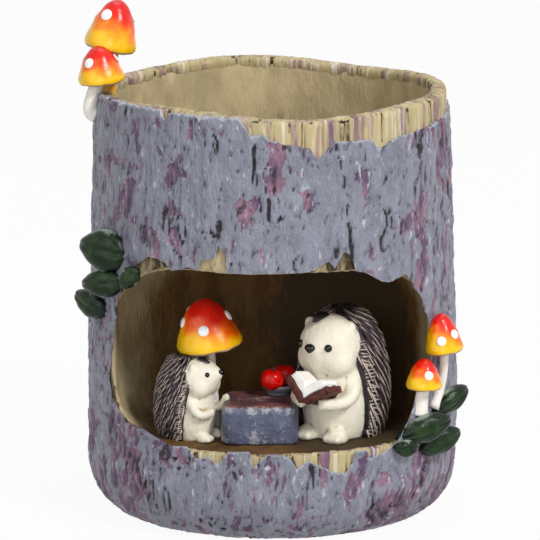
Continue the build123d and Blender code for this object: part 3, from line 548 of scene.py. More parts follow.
def den_tool(grow, floor):
    """Closed mesh that scoops out the den, or the block of wall round it."""
    wide = DEN_HALF_WIDTH + grow
    top = DEN_TOP + grow
    plan = bmesh.new()
    bmesh.ops.create_circle(plan, cap_ends=True, segments=96, radius=1)
    for vert in plan.verts:
        if vert.co.y < -0.001:
            vert.co = (math.copysign(1, vert.co.x), -2, 0)
    bmesh.ops.remove_doubles(plan, verts=plan.verts, dist=0.001)
    bmesh.ops.scale(plan, vec=(wide, DEN_REACH + grow, 1), verts=plan.verts)
    bmesh.ops.translate(plan, vec=(0, -DEN_MOUTH, floor), verts=plan.verts)
    raised = bmesh.ops.extrude_face_region(plan, geom=plan.faces[:])["geom"]
    bmesh.ops.translate(
        plan, vec=(0, 0, top - floor), verts=[item for item in raised if isinstance(item, bmesh.types.BMVert)]
    )
    bmesh.ops.recalc_face_normals(plan, faces=plan.faces)
    mouth = bmesh.new()
    bmesh.ops.create_cube(mouth, size=1)
    bmesh.ops.scale(mouth, vec=(2 * wide, 4 * GIRTH_RADIUS, top - floor), verts=mouth.verts)
    bmesh.ops.translate(mouth, vec=(0, -GIRTH_RADIUS, (top + floor) / 2), verts=mouth.verts)
    middle = (top + floor) / 2
    for below, size in ((True, DEN_LOWER_ROUND), (False, DEN_UPPER_ROUND)):
        corners = [
            edge
            for edge in mouth.edges
            if edge.calc_length() > 3 * GIRTH_RADIUS and (edge.verts[0].co.z < middle) == below
            and abs(edge.verts[0].co.x) > wide - 0.01 and abs(edge.verts[0].co.z - middle) > (top - floor) / 2 - 0.01
        ]
        bmesh.ops.bevel(
            mouth, geom=corners, offset=size, offset_type="OFFSET", segments=10, profile=0.5, affect="EDGES", material=-1
        )
    return remeshed(carve(plan, mouth, "INTERSECT"), 1.6, smoothing=10)


def pot_profile(inset, floor, foot_radius, bottom_round, top):
    """Half section of the trunk, or of the room inside its wall, as (radius, level) points from axis to axis."""
    side = GIRTH_RADIUS - inset
    points = [(0.0, floor), (foot_radius, floor)]
    for turn in range(10, 100, 10):
        lift = math.radians(turn)
        points.append(
            (foot_radius + (side - foot_radius) * math.sin(lift), floor + bottom_round * (1 - math.cos(lift)))
        )
    points += [(side, GIRTH_LEVEL), (trunk_radius(top) - inset, top), (0.0, top)]
    return points


def follow_rim(bm):
    """Lifts and lowers what is near the rim by the rim's slow wave."""
    for vert in bm.verts:
        share = (vert.co.z - STRETCH_LEVEL) / (STUMP_HEIGHT - STRETCH_LEVEL)
        if share > 0:
            vert.co.z += wave(RIM_WAVES, angle_of(vert.co)) * share * share


def in_den(place):
    """Whether a point lies on the den's own walls."""
    if not DEN_FLOOR - 1.6 < place.z < DEN_TOP + 2.4:
        return False
    if math.hypot(place.x, place.y) > trunk_radius(place.z) - BARK - 0.8:
        return False
    across = place.x / (DEN_HALF_WIDTH + 2.5)
    deep = max(place.y + DEN_MOUTH, 0.0) / (DEN_REACH + 2.5)
    return across * across + deep * deep < 1


def den_edge(place):
    """How far inside the edge of the den's mouth a place lies, seen from the front."""
    across = abs(place.x) - DEN_HALF_WIDTH + DEN_UPPER_ROUND
    above = place.z - DEN_TOP + DEN_UPPER_ROUND
    if across > 0 and above > 0:
        return DEN_UPPER_ROUND - math.hypot(across, above)
    return DEN_UPPER_ROUND - max(across, above)


def wood_height(place):
    """Relief of the bare wood: upright grain outside, brushed hollows inside."""
    radius = math.hypot(place.x, place.y)
    if in_den(place):
        return 0.16 * grain(place, 2.2, 9.0) + 0.35 * grain(place, 14.0, 14.0, 3.0)
    if radius > trunk_radius(place.z) - 3.2 and place.z > 1.0:
        return 0.3 * grain(place, 2.4, 40.0) + 0.2 * grain(place, 6.0, 9.0, 8.0) - 0.3
    if place.z < 1.0:
        return 0.0
    return 0.3 * grain(place, 9.0, 9.0) + 0.14 * grain(place, 2.4, 5.0)


def stump_wood():
    """Hollow wooden body of the stump with the planting room, the den and the drain hole."""
    trunk = turned(pot_profile(BARK, 0.0, FOOT_RADIUS - BARK, HEEL_HEIGHT, STUMP_HEIGHT - RIM_CROWN), 180)
    room_foot = GIRTH_RADIUS - WALL - ROOM_ROUND
    room = turned(pot_profile(WALL, BASE_THICKNESS, room_foot, ROOM_ROUND, STUMP_HEIGHT + WALL), 180)
    room = carve(room, den_tool(DEN_WALL, -DEN_FLOOR))
    drain = bmesh.new()
    bmesh.ops.create_cone(
        drain, cap_ends=True, segments=40, radius1=DRAIN_RADIUS, radius2=DRAIN_RADIUS, depth=4 * BASE_THICKNESS,
        matrix=Matrix.Translation((0, DRAIN_PLACE, 0)),
    )
    for tool in (room, den_tool(0.0, DEN_FLOOR), drain):
        trunk = carve(trunk, tool)
    wood = remeshed(trunk, 1.0, smoothing=1)
    follow_rim(wood)
    press(wood, wood_height, low=0.52, gain=0.9)

    # Painted shade on the den's own brown: the browns cover fully deep inside and thinly along the lit edge of the
    # mouth, a band wider and lighter on the left.
    def den_shade(vert):
        if not in_den(vert.co):
            return 0.0
        brushed = 0.14 * grain(vert.co, 3.0, 12.0) + 0.12 * grain(vert.co, 8.0, 8.0)
        left = ease((-vert.co.x - 4) / 20)
        lit_edge = 4 + 6 * left
        return 0.5 - 0.16 * left + 0.6 * ease((den_edge(vert.co) - 0.3 * lit_edge) / lit_edge) + brushed

    tag(wood, cover=den_shade)
    relief = wood.verts.layers.float["relief"]
    # Painted shadow: the relief mask is lowered deep in the den, most on its right, so the wash darkens it there.
    for vert in wood.verts:
        if in_den(vert.co):
            right = ease((vert.co.x + 4) / 20)
            deep = ease((den_edge(vert.co) - 6 + 5 * right) / 8)
            shadow = deep * (0.12 + 0.5 * right)
            vert[relief] = min(max(vert[relief] - shadow, 0.0), 1.0)
    return settle("stump_wood", wood, [WOOD_PAINT], "bark", "stump_body")


def split_wood(name, profile, seed, purple):
    """Band of finely grooved and cracked wood, which shows where the bark is torn."""
    band = turned(profile, 720, closed=True)

    def grooves(place):
        outside = ease((math.hypot(place.x, place.y) - trunk_radius(place.z) + BARK + 1.0) / 0.6)
        crack = ease((grain(place, 1.4, 70.0, seed) - 0.38) / 0.06) * (0.2 + 0.8 * outside)
        return 0.24 * grain(place, 0.55, 40.0, seed) + 0.2 * grain(place, 2.6, 30.0, seed) - 0.8 * crack

    press(band, grooves, low=0.55, gain=1.8)
    tag(band, cover=lambda vert: purple * ease((grain(vert.co, 3.2, 16.0, seed + 5) - 0.02) / 0.2)
        + 0.3 * grain(vert.co, 0.8, 16.0, seed))
    follow_rim(band)
    return settle(name, band, [RIM_PAINT], "bark")


def split_bands():
    """The grained wood of the rim and of the lip under the den."""
    rows = 20
    foot = STUMP_HEIGHT - RIM_BAND
    rim = [(trunk_radius(level) - BARK, level) for level in (foot + (RIM_BAND - RIM_CROWN) * i / rows for i in range(rows + 1))]
    outer = RIM_RADIUS - BARK
    inner = RIM_RADIUS - WALL
    rim += [(outer - 0.4, STUMP_HEIGHT - 0.2), (outer - 1.2, STUMP_HEIGHT), (outer - 2.2, STUMP_HEIGHT + 0.1)]
    rim += [(inner + 0.6, STUMP_HEIGHT), (inner - 0.1, STUMP_HEIGHT - 0.4), (inner - 0.2, STUMP_HEIGHT - 1.2)]
    rim += [(inner - 0.1, STUMP_HEIGHT - 2.4), (inner + 0.8, STUMP_HEIGHT - 3.6), (outer - 1.6, foot)]
    split_wood("stump_rim_grain", rim, 2.0, 0.5)
    edge = GIRTH_RADIUS - BARK
    lip = [(edge, DEN_FLOOR - LIP_BAND + LIP_BAND * i / rows) for i in range(rows)]
    lip += [(edge - 0.4, DEN_FLOOR + 0.1), (edge - 1.2, DEN_FLOOR + 0.2), (edge - 2.2, DEN_FLOOR - 0.2)]
    lip += [(edge - 2.4, DEN_FLOOR - LIP_BAND)]
    split_wood("stump_lip_grain", lip, 13.0, 0.9)


def bark_relief(place):
    """Height, relief and second colour of the bark at a place on the trunk."""
    warp = 2.0 * noise.noise(place * 0.15)
    at = place + Vector((warp, warp, 3 * warp))
    strands = grain(at, 1.1, 10.0)
    fibres = grain(at, 0.8, 2.4, 5.0)
    lumps = grain(place, 13.0, 18.0)
    dabs = noise.fractal(Vector((at.x / 3.4, at.y / 3.4, at.z / 5)), 0.8, 2.2, 4)
    low = ease((40 - place.z) / 40)
    side = ease((abs(place.x) - 20) / 22)
    ragged = noise.fractal(Vector((at.x / 6.5, at.y / 6.5, at.z / 15 - 25)), 0.65, 2.3, 5)
    ragged += 0.30 * strands + 0.16 * fibres
    peel = ease((ragged - 0.36 + 0.16 * low + 0.14 * side) / 0.14)
    cracked = ease((grain(at, 7.0, 14.0, 70.0) - 0.12) / 0.12)
    slit = cracked * ease((0.07 - abs(grain(at, 3.2, 40.0, 43.0))) / 0.05)
    pit = ease((grain(at, 1.2, 2.6, 17.0) - 0.40) / 0.12)
    scar = ease((grain(at, 0.9, 9.0, 61.0) - 0.34 + 0.12 * side) / 0.14)
    height = 0.45 * lumps + 0.14 * strands + 0.34 * dabs + 0.16 * fibres
    height -= 0.45 * peel * (1 + 0.6 * strands) + 0.8 * slit + 0.35 * pit + 0.25 * scar
    # Painted highlight: the brush colour is laid in a thin band round the edge of each peeled patch.
    peel_edge_highlight = 4 * peel * (1 - peel)
    relief = 0.52 + 0.18 * strands + 0.18 * dabs + 0.36 * fibres + 0.2 * peel_edge_highlight
    relief += peel * (0.2 * fibres + 0.3 * strands - 0.1) - 0.7 * slit - 0.12 * pit - 0.12 * scar
    # The purple is laid more towards the foot and the sides, and most in the pits and scars there.
    foot_and_flanks = 0.35 + 0.65 * max(low, side)
    cover = 0.10 + 0.72 * peel + foot_and_flanks * (0.4 * pit + 0.42 * scar) + 0.14 * low + 0.16 * side
    return height, relief, cover


def stump_bark():
    """Bark that wraps the wood, torn under the rim and round the den's mouth."""
    heel = [math.radians(turn) for turn in range(8, 90, 4)]
    outside = [
        (FOOT_RADIUS + (GIRTH_RADIUS - FOOT_RADIUS) * math.sin(turn), HEEL_HEIGHT * (1 - math.cos(turn)))
        for turn in heel
    ]
    levels = [HEEL_HEIGHT + (STUMP_HEIGHT - HEEL_HEIGHT) * i / 124 for i in range(125)]
    outside += [(trunk_radius(level), level) for level in levels]
    inside = [(trunk_radius(level) - BARK - 0.6, level) for level in (STUMP_HEIGHT, 90, 72, 54, 36, 20, HEEL_HEIGHT)]
    inside += [(radius - BARK - 0.6, level + 0.3) for radius, level in outside[15::-5]]
    shell = turned(outside + inside, 540, closed=True)
    for vert in shell.verts:
        share = (vert.co.z - STRETCH_LEVEL) / (STUMP_HEIGHT - STRETCH_LEVEL)
        if share > 0:
            torn = between(BARK_TOP, angle_of(vert.co)) + 0.7 * grain(vert.co, 1.4, 400.0) - STUMP_HEIGHT
            vert.co.z += torn * share
    mouth = bmesh.new()
    outline = [
        mouth.verts.new((GIRTH_RADIUS * math.sin(math.radians(angle)), -DEN_MOUTH * 0.8, level))
        for angle, level in BARK_MOUTH
    ]
    sheet = mouth.faces.new(outline)
    pulled = bmesh.ops.extrude_face_region(mouth, geom=[sheet])["geom"]
    bmesh.ops.translate(
        mouth, vec=(0, -GIRTH_RADIUS, 0), verts=[item for item in pulled if isinstance(item, bmesh.types.BMVert)]
    )
    bmesh.ops.recalc_face_normals(mouth, faces=mouth.faces)
    bark = carve(shell, mouth)
    relief_layer = bark.verts.layers.float.new("relief")
    cover_layer = bark.verts.layers.float.new("cover")
    for vert in bark.verts:
        radius = math.hypot(vert.co.x, vert.co.y)
        height, relief, cover = bark_relief(vert.co)
        vert[relief_layer] = min(max(relief, 0.0), 1.0)
        vert[cover_layer] = min(max(cover, 0.0), 1.0)
        if radius > trunk_radius(vert.co.z) - 0.5 * BARK:
            out = Vector((vert.co.x / radius, vert.co.y / radius, 0))
            vert.co += out * max(height - 0.1, -0.8 * BARK)
    bark.normal_update()
    for face in bark.faces:
        centre = face.calc_center_median()
        around = math.hypot(centre.x, centre.y)
        sideways = abs(face.normal.x * centre.x + face.normal.y * centre.y) < 0.45 * around
        if sideways and around > trunk_radius(centre.z) - BARK and centre.z > HEEL_HEIGHT:
            for vert in face.verts:
                vert[relief_layer] = max(vert[relief_layer], 0.86)
    return settle("stump_bark", bark, [BARK_PAINT], "bark")


# Toadstools


def cap_profile(radius, height, rows=26):
    """Half section of a cap from its crown to its rolled brim and up into its hollow."""
    points = []
    for i in range(rows + 1):
        turn = math.radians(90 * i / rows)
        bell = 1 - 0.15 * math.sin(2 * turn)
        points.append((radius * math.sin(turn) * bell, height * (0.12 + 0.88 * math.cos(turn))))
    points += [(0.985 * radius, 0.05 * height), (0.93 * radius, 0.01 * height), (0.8 * radius, 0.0)]
    points += [(0.5 * radius, 0.07 * height), (0.2 * radius, 0.14 * height), (0.0, 0.16 * height)]
    return points


def toadstool_cap(name, matrix, radius, height, lean, *nodes):
    """Lumpy glazed cap. The red runs further down on the side that it leans to."""
    cap = turned(cap_profile(radius, height), 56)
    press(cap, lambda place: 0.035 * radius * noise.noise(place * (2.2 / radius)))
    under = [face for face in cap.faces if face.normal.z < -0.3 and face.calc_center_median().z < 0.2 * height]
    for face in under:
        face.material_index = 1

    def blush(vert):
        share = vert.co.z / height
        side = (vert.co.x * lean[0] + vert.co.y * lean[1]) / radius
        return -0.05 + 1.05 * share + 0.22 * side + 0.16 * noise.noise(vert.co * (3.0 / radius))

    tag(cap, relief=blush)
    bmesh.ops.transform(cap, matrix=matrix, verts=cap.verts)
    return settle(name, cap, [CAP_GLAZE, STEM_PAINT], "cap", *nodes)


def toadstool_stem(name, foot, knee, top, radius, yellow, node):
    """Curved stem with a flared foot and fine upright grooves."""
    stem = bmesh.new()
    path = bend((foot, knee, top), 14)
    tube(stem, [(point, radius * (1.0 + 0.35 * (1 - i / 14) ** 3)) for i, point in enumerate(path)], 22)
    bmesh.ops.recalc_face_normals(stem, faces=stem.faces)
    press(stem, lambda place: 0.07 * grain(place, 0.7, 4.0), low=0.6, gain=3.0)
    tag(stem, cover=lambda vert: yellow)
    return settle(name, stem, [STEM_PAINT], "stem", node)


def spots(name, groups, node):
    """White domes set on caps, each at (turn about the cap's axis, share of the way down its side)."""
    dots = bmesh.new()
    for matrix, radius, height, size, places in groups:
        line = cap_profile(radius, height)
        for turn, share in places:
            row = round(share * 26)
            before, at, after = (Vector((*line[row + step], 0)) for step in (-1, 0, 1))
            along = after - before
            spin = math.radians(turn)
            point = Vector((at.x * math.cos(spin), at.x * math.sin(spin), at.y))
            out = Vector((-along.y * math.cos(spin), -along.y * math.sin(spin), along.x))
            place = matrix @ seat_matrix(point, out) @ Matrix.Diagonal((1, 1, 0.35, 1))
            bmesh.ops.create_uvsphere(dots, u_segments=20, v_segments=12, radius=size, matrix=place)
    tag(dots, relief=lambda vert: 0.55)
    return settle(name, dots, [SPOT_PAINT], "spot", node)


def toadstools():
    """The two rim toadstools, the two beside the den and the one over the young hedgehog."""
    tall_foot = wall_point(-87, STUMP_HEIGHT, -WALL / 2)
    tall_axis = Vector((math.sin(math.radians(12)), 0, math.cos(math.radians(12))))
    tall = seat_matrix(tall_foot + Vector((1.6, 0, 10)), tall_axis)
    short = seat_matrix(wall_point(-79, STUMP_HEIGHT + 2.6, -1.6), outward(-79, 85))
    upper_axis = Vector((-math.sin(math.radians(8)), 0, math.cos(math.radians(8))))
    upper = seat_matrix(wall_point(60.4, 44.1, 3.0), upper_axis)
    lower = seat_matrix(wall_point(51.6, 36.2, 1.4), Vector((0, 0, 1)))
    umbrella_axis = Vector((-math.sin(math.radians(9)), 0, math.cos(math.radians(9))))
    umbrella = seat_matrix(Vector((-15.3, -22.5, DEN_FLOOR + 21.6)), umbrella_axis)
    toadstool_cap("rim_toadstool_tall_glaze", tall, 6.5, 12.6, (0.4, 0.0), "rim_toadstool_tall_cap")
    toadstool_cap("rim_toadstool_short_glaze", short, 5.8, 9.2, (0.3, -0.2), "rim_toadstool_short_cap")
    toadstool_cap("side_toadstool_upper_glaze", upper, 4.7, 9.8, (1.2, 0.2), "side_toadstool_upper_cap")
    toadstool_cap("side_toadstool_lower_glaze", lower, 4.5, 7.4, (0.6, 0.0), "side_toadstool_lower_cap")
    toadstool_cap("umbrella_toadstool_glaze", umbrella, 8.2, 12.6, (0.9, -0.2), "umbrella_toadstool_cap")
    tall_top = tall @ Vector((0, 0, 2.4))
    toadstool_stem(
        "rim_toadstool_tall_stalk", tall_foot - Vector((0, 0, 2)), (tall_foot + tall_top) / 2, tall_top, 2.5, 0.9,
        "rim_toadstool_tall_stem",
    )
    toadstool_stem(
        "rim_toadstool_short_stalk", wall_point(-79, STUMP_HEIGHT - 5.0), wall_point(-79, STUMP_HEIGHT - 2.5, 0.95),
        short @ Vector((0, 0, 1.8)), 1.8, 0.0, "rim_toadstool_short_stem",
    )
    toadstool_stem(
        "side_toadstool_upper_stalk", wall_point(59, 29.5), wall_point(63, 36.8, 1.0), upper @ Vector((0, 0, 1.8)),
        1.1, 0.0, "side_toadstool_upper_stem",
    )
    low_foot = wall_point(51.6, 29.5)
    low_top = lower @ Vector((0, 0, 1.6))
    toadstool_stem(
        "side_toadstool_lower_stalk", low_foot, (low_foot + low_top) / 2, low_top, 1.6, 0.0,
        "side_toadstool_lower_stem",
    )
    umbrella_foot = Vector((-14.1, -19.0, DEN_FLOOR))
    umbrella_top = umbrella @ Vector((0, 0, 2.2))
    toadstool_stem(
        "umbrella_toadstool_stalk", umbrella_foot, (umbrella_foot + umbrella_top) / 2, umbrella_top, 1.25, 0.0,
        "umbrella_toadstool_stem",
    )
    rim_groups = (
        (tall, 6.5, 12.6, 1.5, ((-125, 0.55), (14, 0.55), (60, 0.45), (150, 0.65))),
        (short, 5.8, 9.2, 1.3, ((-128, 0.6), (12, 0.62), (150, 0.6))),
    )
    side_groups = ((upper, 4.7, 9.8, 1.2, ((-98, 0.8), (-40, 0.74))), (lower, 4.5, 7.4, 1.15, ((-72, 0.68),)))
    umbrella_spots = ((-96, 0.72), (-168, 0.6), (-8, 0.62), (60, 0.5), (140, 0.45))
    umbrella_group = ((umbrella, 8.2, 12.6, 1.4, umbrella_spots),)
    spots("rim_toadstool_dots", rim_groups, "rim_toadstool_spots")
    spots("side_toadstool_dots", side_groups, "side_toadstool_spots")
    spots("umbrella_toadstool_dots", umbrella_group, "umbrella_toadstool_spots")


# Leaves


def leaf(node, angle, level, length, width, thickness, spin, tilt):
    """Thick leaf with a creased midrib and shallow side veins, grown into the wall."""
    facing = angle - math.copysign(32, angle)
    out = outward(facing, tilt)
    side = Vector((math.cos(math.radians(facing)), math.sin(math.radians(facing)), 0))
    along = Matrix.Rotation(math.radians(spin), 3, out) @ side
    seat = seat_matrix(wall_point(angle, level, 2.0), out, along)
    blade = bmesh.new()
    bmesh.ops.create_uvsphere(blade, u_segments=48, v_segments=30, radius=1, matrix=Matrix.Rotation(math.pi / 2, 4, "Y"))
    relief_layer = blade.verts.layers.float.new("relief")
    cover_layer = blade.verts.layers.float.new("cover")
    for vert in blade.verts:
        x, y, z = vert.co
        crease = math.exp(-((y / 0.14) ** 2)) if z > 0 else 0.0
        vein = math.sin(9 * (x + 0.9 * abs(y))) if z > 0 else 0.0
        lift = z * (0.98 if z > 0 else 0.5) - 0.18 * crease + 0.03 * vein * (1 - crease)
        taper = (1 - 0.30 * x * x) * (1 + 0.18 * x)
        vert.co = (x * length * 0.54, y * width * 0.56 * taper, (lift - 0.18 * x * x) * thickness)
        # The pale brush along the leaf's edges is a painted highlight, and the slight wash in the midrib's crease is
        # painted shade.
        vert[relief_layer] = min(max(0.52 - 0.16 * crease + 0.06 * vein + 0.36 * abs(y) ** 6 + 0.1 * max(y, 0.0), 0.0), 1.0)
        vert[cover_layer] = min(max(0.25 + 0.5 * (z - 0.4), 0.0), 1.0)
    bmesh.ops.transform(blade, matrix=seat, verts=blade.verts)
    bmesh.ops.recalc_face_normals(blade, faces=blade.faces)
    return settle(node + "_blade", blade, [LEAF_PAINT], "leaf", node)


def leaves():
    """The sprig left of the den and the sprig under the toadstools on its right."""
    for name, *sizes in (
        ("middle", -60.9, 61.4, 11.8, 6.6, 2.6, 8.0, 4.0),
        ("low", -70.1, 54.7, 10.0, 6.6, 2.4, -22.0, -6.0),
        ("top", -60.7, 69.8, 13.6, 9.4, 3.0, -8.0, 10.0),
        ("inner", -47.2, 64.7, 6.4, 4.4, 1.8, 50.0, 0.0),
    ):
        leaf("left_leaf_" + name, *sizes)
    for name, *sizes in (
        ("low", 58.5, 21.3, 12.0, 6.0, 2.4, 20.0, -8.0),
        ("middle", 50.5, 26.0, 14.0, 6.4, 2.8, 16.0, -2.0),
        ("top", 64.9, 30.6, 12.3, 5.4, 2.6, 24.0, 4.0),
        ("inner", 42.5, 22.4, 6.0, 4.0, 1.6, -6.0, -8.0),
    ):
        leaf("right_leaf_" + name, *sizes)


# Den furniture


def log_table():
    """Log cut square that stands between the hedgehogs."""
    block = bmesh.new()
    bmesh.ops.create_cube(block, size=1)
    bmesh.ops.scale(block, vec=(19, 18, 10), verts=block.verts)
    bmesh.ops.translate(block, vec=(-2.9, -27, DEN_FLOOR + 5), verts=block.verts)
    upright = [edge for edge in block.edges if abs(edge.verts[0].co.z - edge.verts[1].co.z) > 1]
    bmesh.ops.bevel(
        block, geom=upright, offset=3.5, offset_type="OFFSET", segments=6, profile=0.5, affect="EDGES", material=-1
    )
    high = [edge for edge in block.edges if all(vert.co.z > DEN_FLOOR + 9 for vert in edge.verts)]
    bmesh.ops.bevel(
        block, geom=high, offset=1.8, offset_type="OFFSET", segments=4, profile=0.5, affect="EDGES", material=-1
    )
    block = remeshed(block, 0.45, smoothing=2)
    press(
        block,
        lambda place: 0.3 * grain(place, 5.0, 7.0) + 0.16 * grain(place, 1.3, 3.0) if place.z > DEN_FLOOR + 0.4 else 0.0,
        low=0.57,
        gain=1.3,
    )
    top = DEN_FLOOR + 10
    relief = block.verts.layers.float["relief"]
    for vert in block.verts:
        edge = ease((vert.co.z - top + 3.0) / 1.5) * ease((top + 0.2 - vert.co.z) / 0.9)
        vert[relief] = min(vert[relief] + 0.25 * edge, 1.0)
    tag(block, cover=lambda vert: 0.9 * ease((vert.co.z - top + 1.2) / 1.0))
    return settle("log_table_block", block, [TABLE_PAINT], "table", "log_table")


def dish_and_apples():
    """Footed dish on the table with two apples in it."""
    table_top = DEN_FLOOR + 10
    section = (
        (0, 0), (2.8, 0), (2.9, 0.25), (2.75, 0.5), (3.3, 1.0), (3.9, 1.6), (4.2, 2.3), (4.05, 2.6), (3.7, 2.4),
        (3.1, 1.8), (2.2, 1.5), (0, 1.4),
    )
    dish = turned(section, 48, matrix=Matrix.Translation((1.6, -22.6, table_top)))
    press(dish, lambda place: 0.06 * noise.noise(place * 0.9), low=0.58, gain=3.0)
    settle("fruit_dish_bowl", dish, [DISH_PAINT], "dish", "fruit_dish")
    for name, x, y in (("front", -1.5, -2.5), ("back", 1.5, 2.5)):
        line = []
        for i in range(25):
            turn = math.radians(180 * i / 24)
            swell = 1 - 0.30 * math.exp(-((turn / 0.42) ** 2)) - 0.12 * math.exp(-(((math.pi - turn) / 0.4) ** 2))
            line.append((2.95 * math.sin(turn), 2.85 * math.cos(turn) * swell))
        line[0] = (0.0, line[0][1])
        line[-1] = (0.0, line[-1][1])
        centre = Vector((1.6 + x, -22.6 + y, table_top + 4.2))
        apple = turned(line, 40, matrix=Matrix.Translation(centre))
        press(apple, lambda place: 0.07 * noise.noise(place * 0.5), low=0.55, gain=1.5)
        tag(apple, cover=lambda vert: 0.4 * ease((vert.co.z - centre.z) / 3))
        stalk = bmesh.new()
        tube(stalk, [(centre + Vector((0.1 * i, 0.05 * i, 1.4 + 0.45 * i)), 0.24) for i in range(5)], 10)
        for face in stalk.faces:
            face.material_index = 1
        merge(apple, stalk)
        settle("apple_" + name + "_fruit", apple, [APPLE_PAINT, COVER_PAINT], "apple", "apple_" + name)


# Hedgehogs


def egg_radius(radius, share):
    """Radius of an upright egg at a share of its height."""
    if share < 0.33:
        return radius * (1 - 0.18 * ((0.33 - share) / 0.33) ** 2)
    return radius * math.sqrt(max(1 - ((share - 0.33) / 0.67) ** 2.1, 0.0))


def egg(radius, height):
    """Closed upright egg with a flat foot."""
    line = [(0.0, 0.0)] + [(egg_radius(radius, i / 30), height * i / 30) for i in range(30)] + [(0.0, height)]
    return turned(line, 48)


def ball(bm, place, radius, stretch=(1, 1, 1)):
    """Adds a round lump to a mesh."""
    matrix = Matrix.Translation(place) @ Matrix.Diagonal((*stretch, 1))
    bmesh.ops.create_icosphere(bm, subdivisions=3, radius=radius, matrix=matrix)


def shade_folds(bm, spacing):
    """Painted shade: lowers the relief mask in the folds of a mesh, so the wash darkens them."""
    bm.normal_update()
    layer = bm.verts.layers.float["relief"]
    bends = {}
    for vert in bm.verts:
        near = [edge.other_vert(vert) for edge in vert.link_edges]
        bends[vert] = sum((other.co - vert.co).dot(vert.normal) for other in near) / (len(near) * spacing)
    for _ in range(6):
        bends = {
            vert: sum(bends[edge.other_vert(vert)] for edge in vert.link_edges) / len(vert.link_edges)
            for vert in bm.verts
        }
    for vert, fold in bends.items():
        vert[layer] = min(max(vert[layer] - 9.0 * max(fold, 0.0), 0.0), 1.0)


BOOK_PITCH = 12.0
SHOULDER = (6.4, -6.0, 14.5)
ELBOW = (7.2, -10.2, 11.0)


def head_matrix(pitch, look):
    """Frame of a hedgehog's head, looking to one side and with its snout lifted."""
    lifted = Matrix.Rotation(math.radians(look), 4, "Z") @ Matrix.Rotation(math.radians(-pitch), 4, "X")
    return Matrix.Translation((0, -6.0, 23.2)) @ lifted


def hedgehog_fur(figure, scale, head, snout, paws):
    """Cream body in one skin: belly, head with its snout, ears, arms, paws and feet."""
    fur = egg(8.8, 27.0)
    bmesh.ops.translate(fur, vec=(0, -3.2, 0), verts=fur.verts)
    for i in range(13):
        t = i / 12
        ball(fur, head @ Vector((0, -(snout - 2.0) * t, 0.3 * t)), 8.0 - 6.0 * t)
    for hand, paw in zip((-1, 1), paws):
        ball(fur, head @ Vector((hand * 3.4, -1.8, -2.8)), 4.6)
        ball(fur, (hand * 5.7, -6.6, 28.3), 1.7, (1, 0.6, 1.05))
        ball(fur, (hand * 4.3, -10.6, 0.9), 2.9, (1, 1.1, 0.9))
        for toe in (-1.5, 0.0, 1.5):
            ball(fur, (hand * 4.3 + toe, -13.0, 1.1), 1.15)
        bend_points = bend([(hand * x, y, z) for x, y, z in (SHOULDER, ELBOW, paw)], 10)
        for i, point in enumerate(bend_points):
            ball(fur, point, 1.9 - 0.035 * i)
        for finger in (-0.8, 0.2, 1.1):
            ball(fur, bend_points[-1] + Vector((-hand * 0.7, -0.9, finger)), 0.75)
    below = [vert for vert in fur.verts if vert.co.z < 0]
    for vert in below:
        vert.co.z = 0.0
    bmesh.ops.transform(fur, matrix=figure, verts=fur.verts)
    fur = remeshed(fur, 0.42 * scale, smoothing=4)
    step = 1.1 * scale
    press(fur, lambda place: 0.10 * scale * grain(place, step, 4.0 * step), low=0.62, gain=2.6 / scale)
    shade_folds(fur, 0.42 * scale)
    return fur


def quill(coat, layer, point, along, out, length, width, tone, rise):
    """Adds one flattened quill, lighter towards its tip and on its crest."""
    lean = (along + out * 0.2).normalized()
    centre = point + lean * length * 0.3
    made = bmesh.ops.create_cone(
        coat, cap_ends=True, cap_tris=True, segments=6, radius1=width, radius2=0.12 * width, depth=length,
        matrix=seat_matrix(centre, lean, out) @ Matrix.Diagonal((0.6, 1.0, 1.0, 1)),
    )
    for vert in made["verts"]:
        tip = (vert.co - centre).dot(lean) / length + 0.5
        crest = (vert.co - centre).dot(out)
        vert[layer] = min(max(tone + rise * tip + 0.3 * crest, 0.0), 1.0)


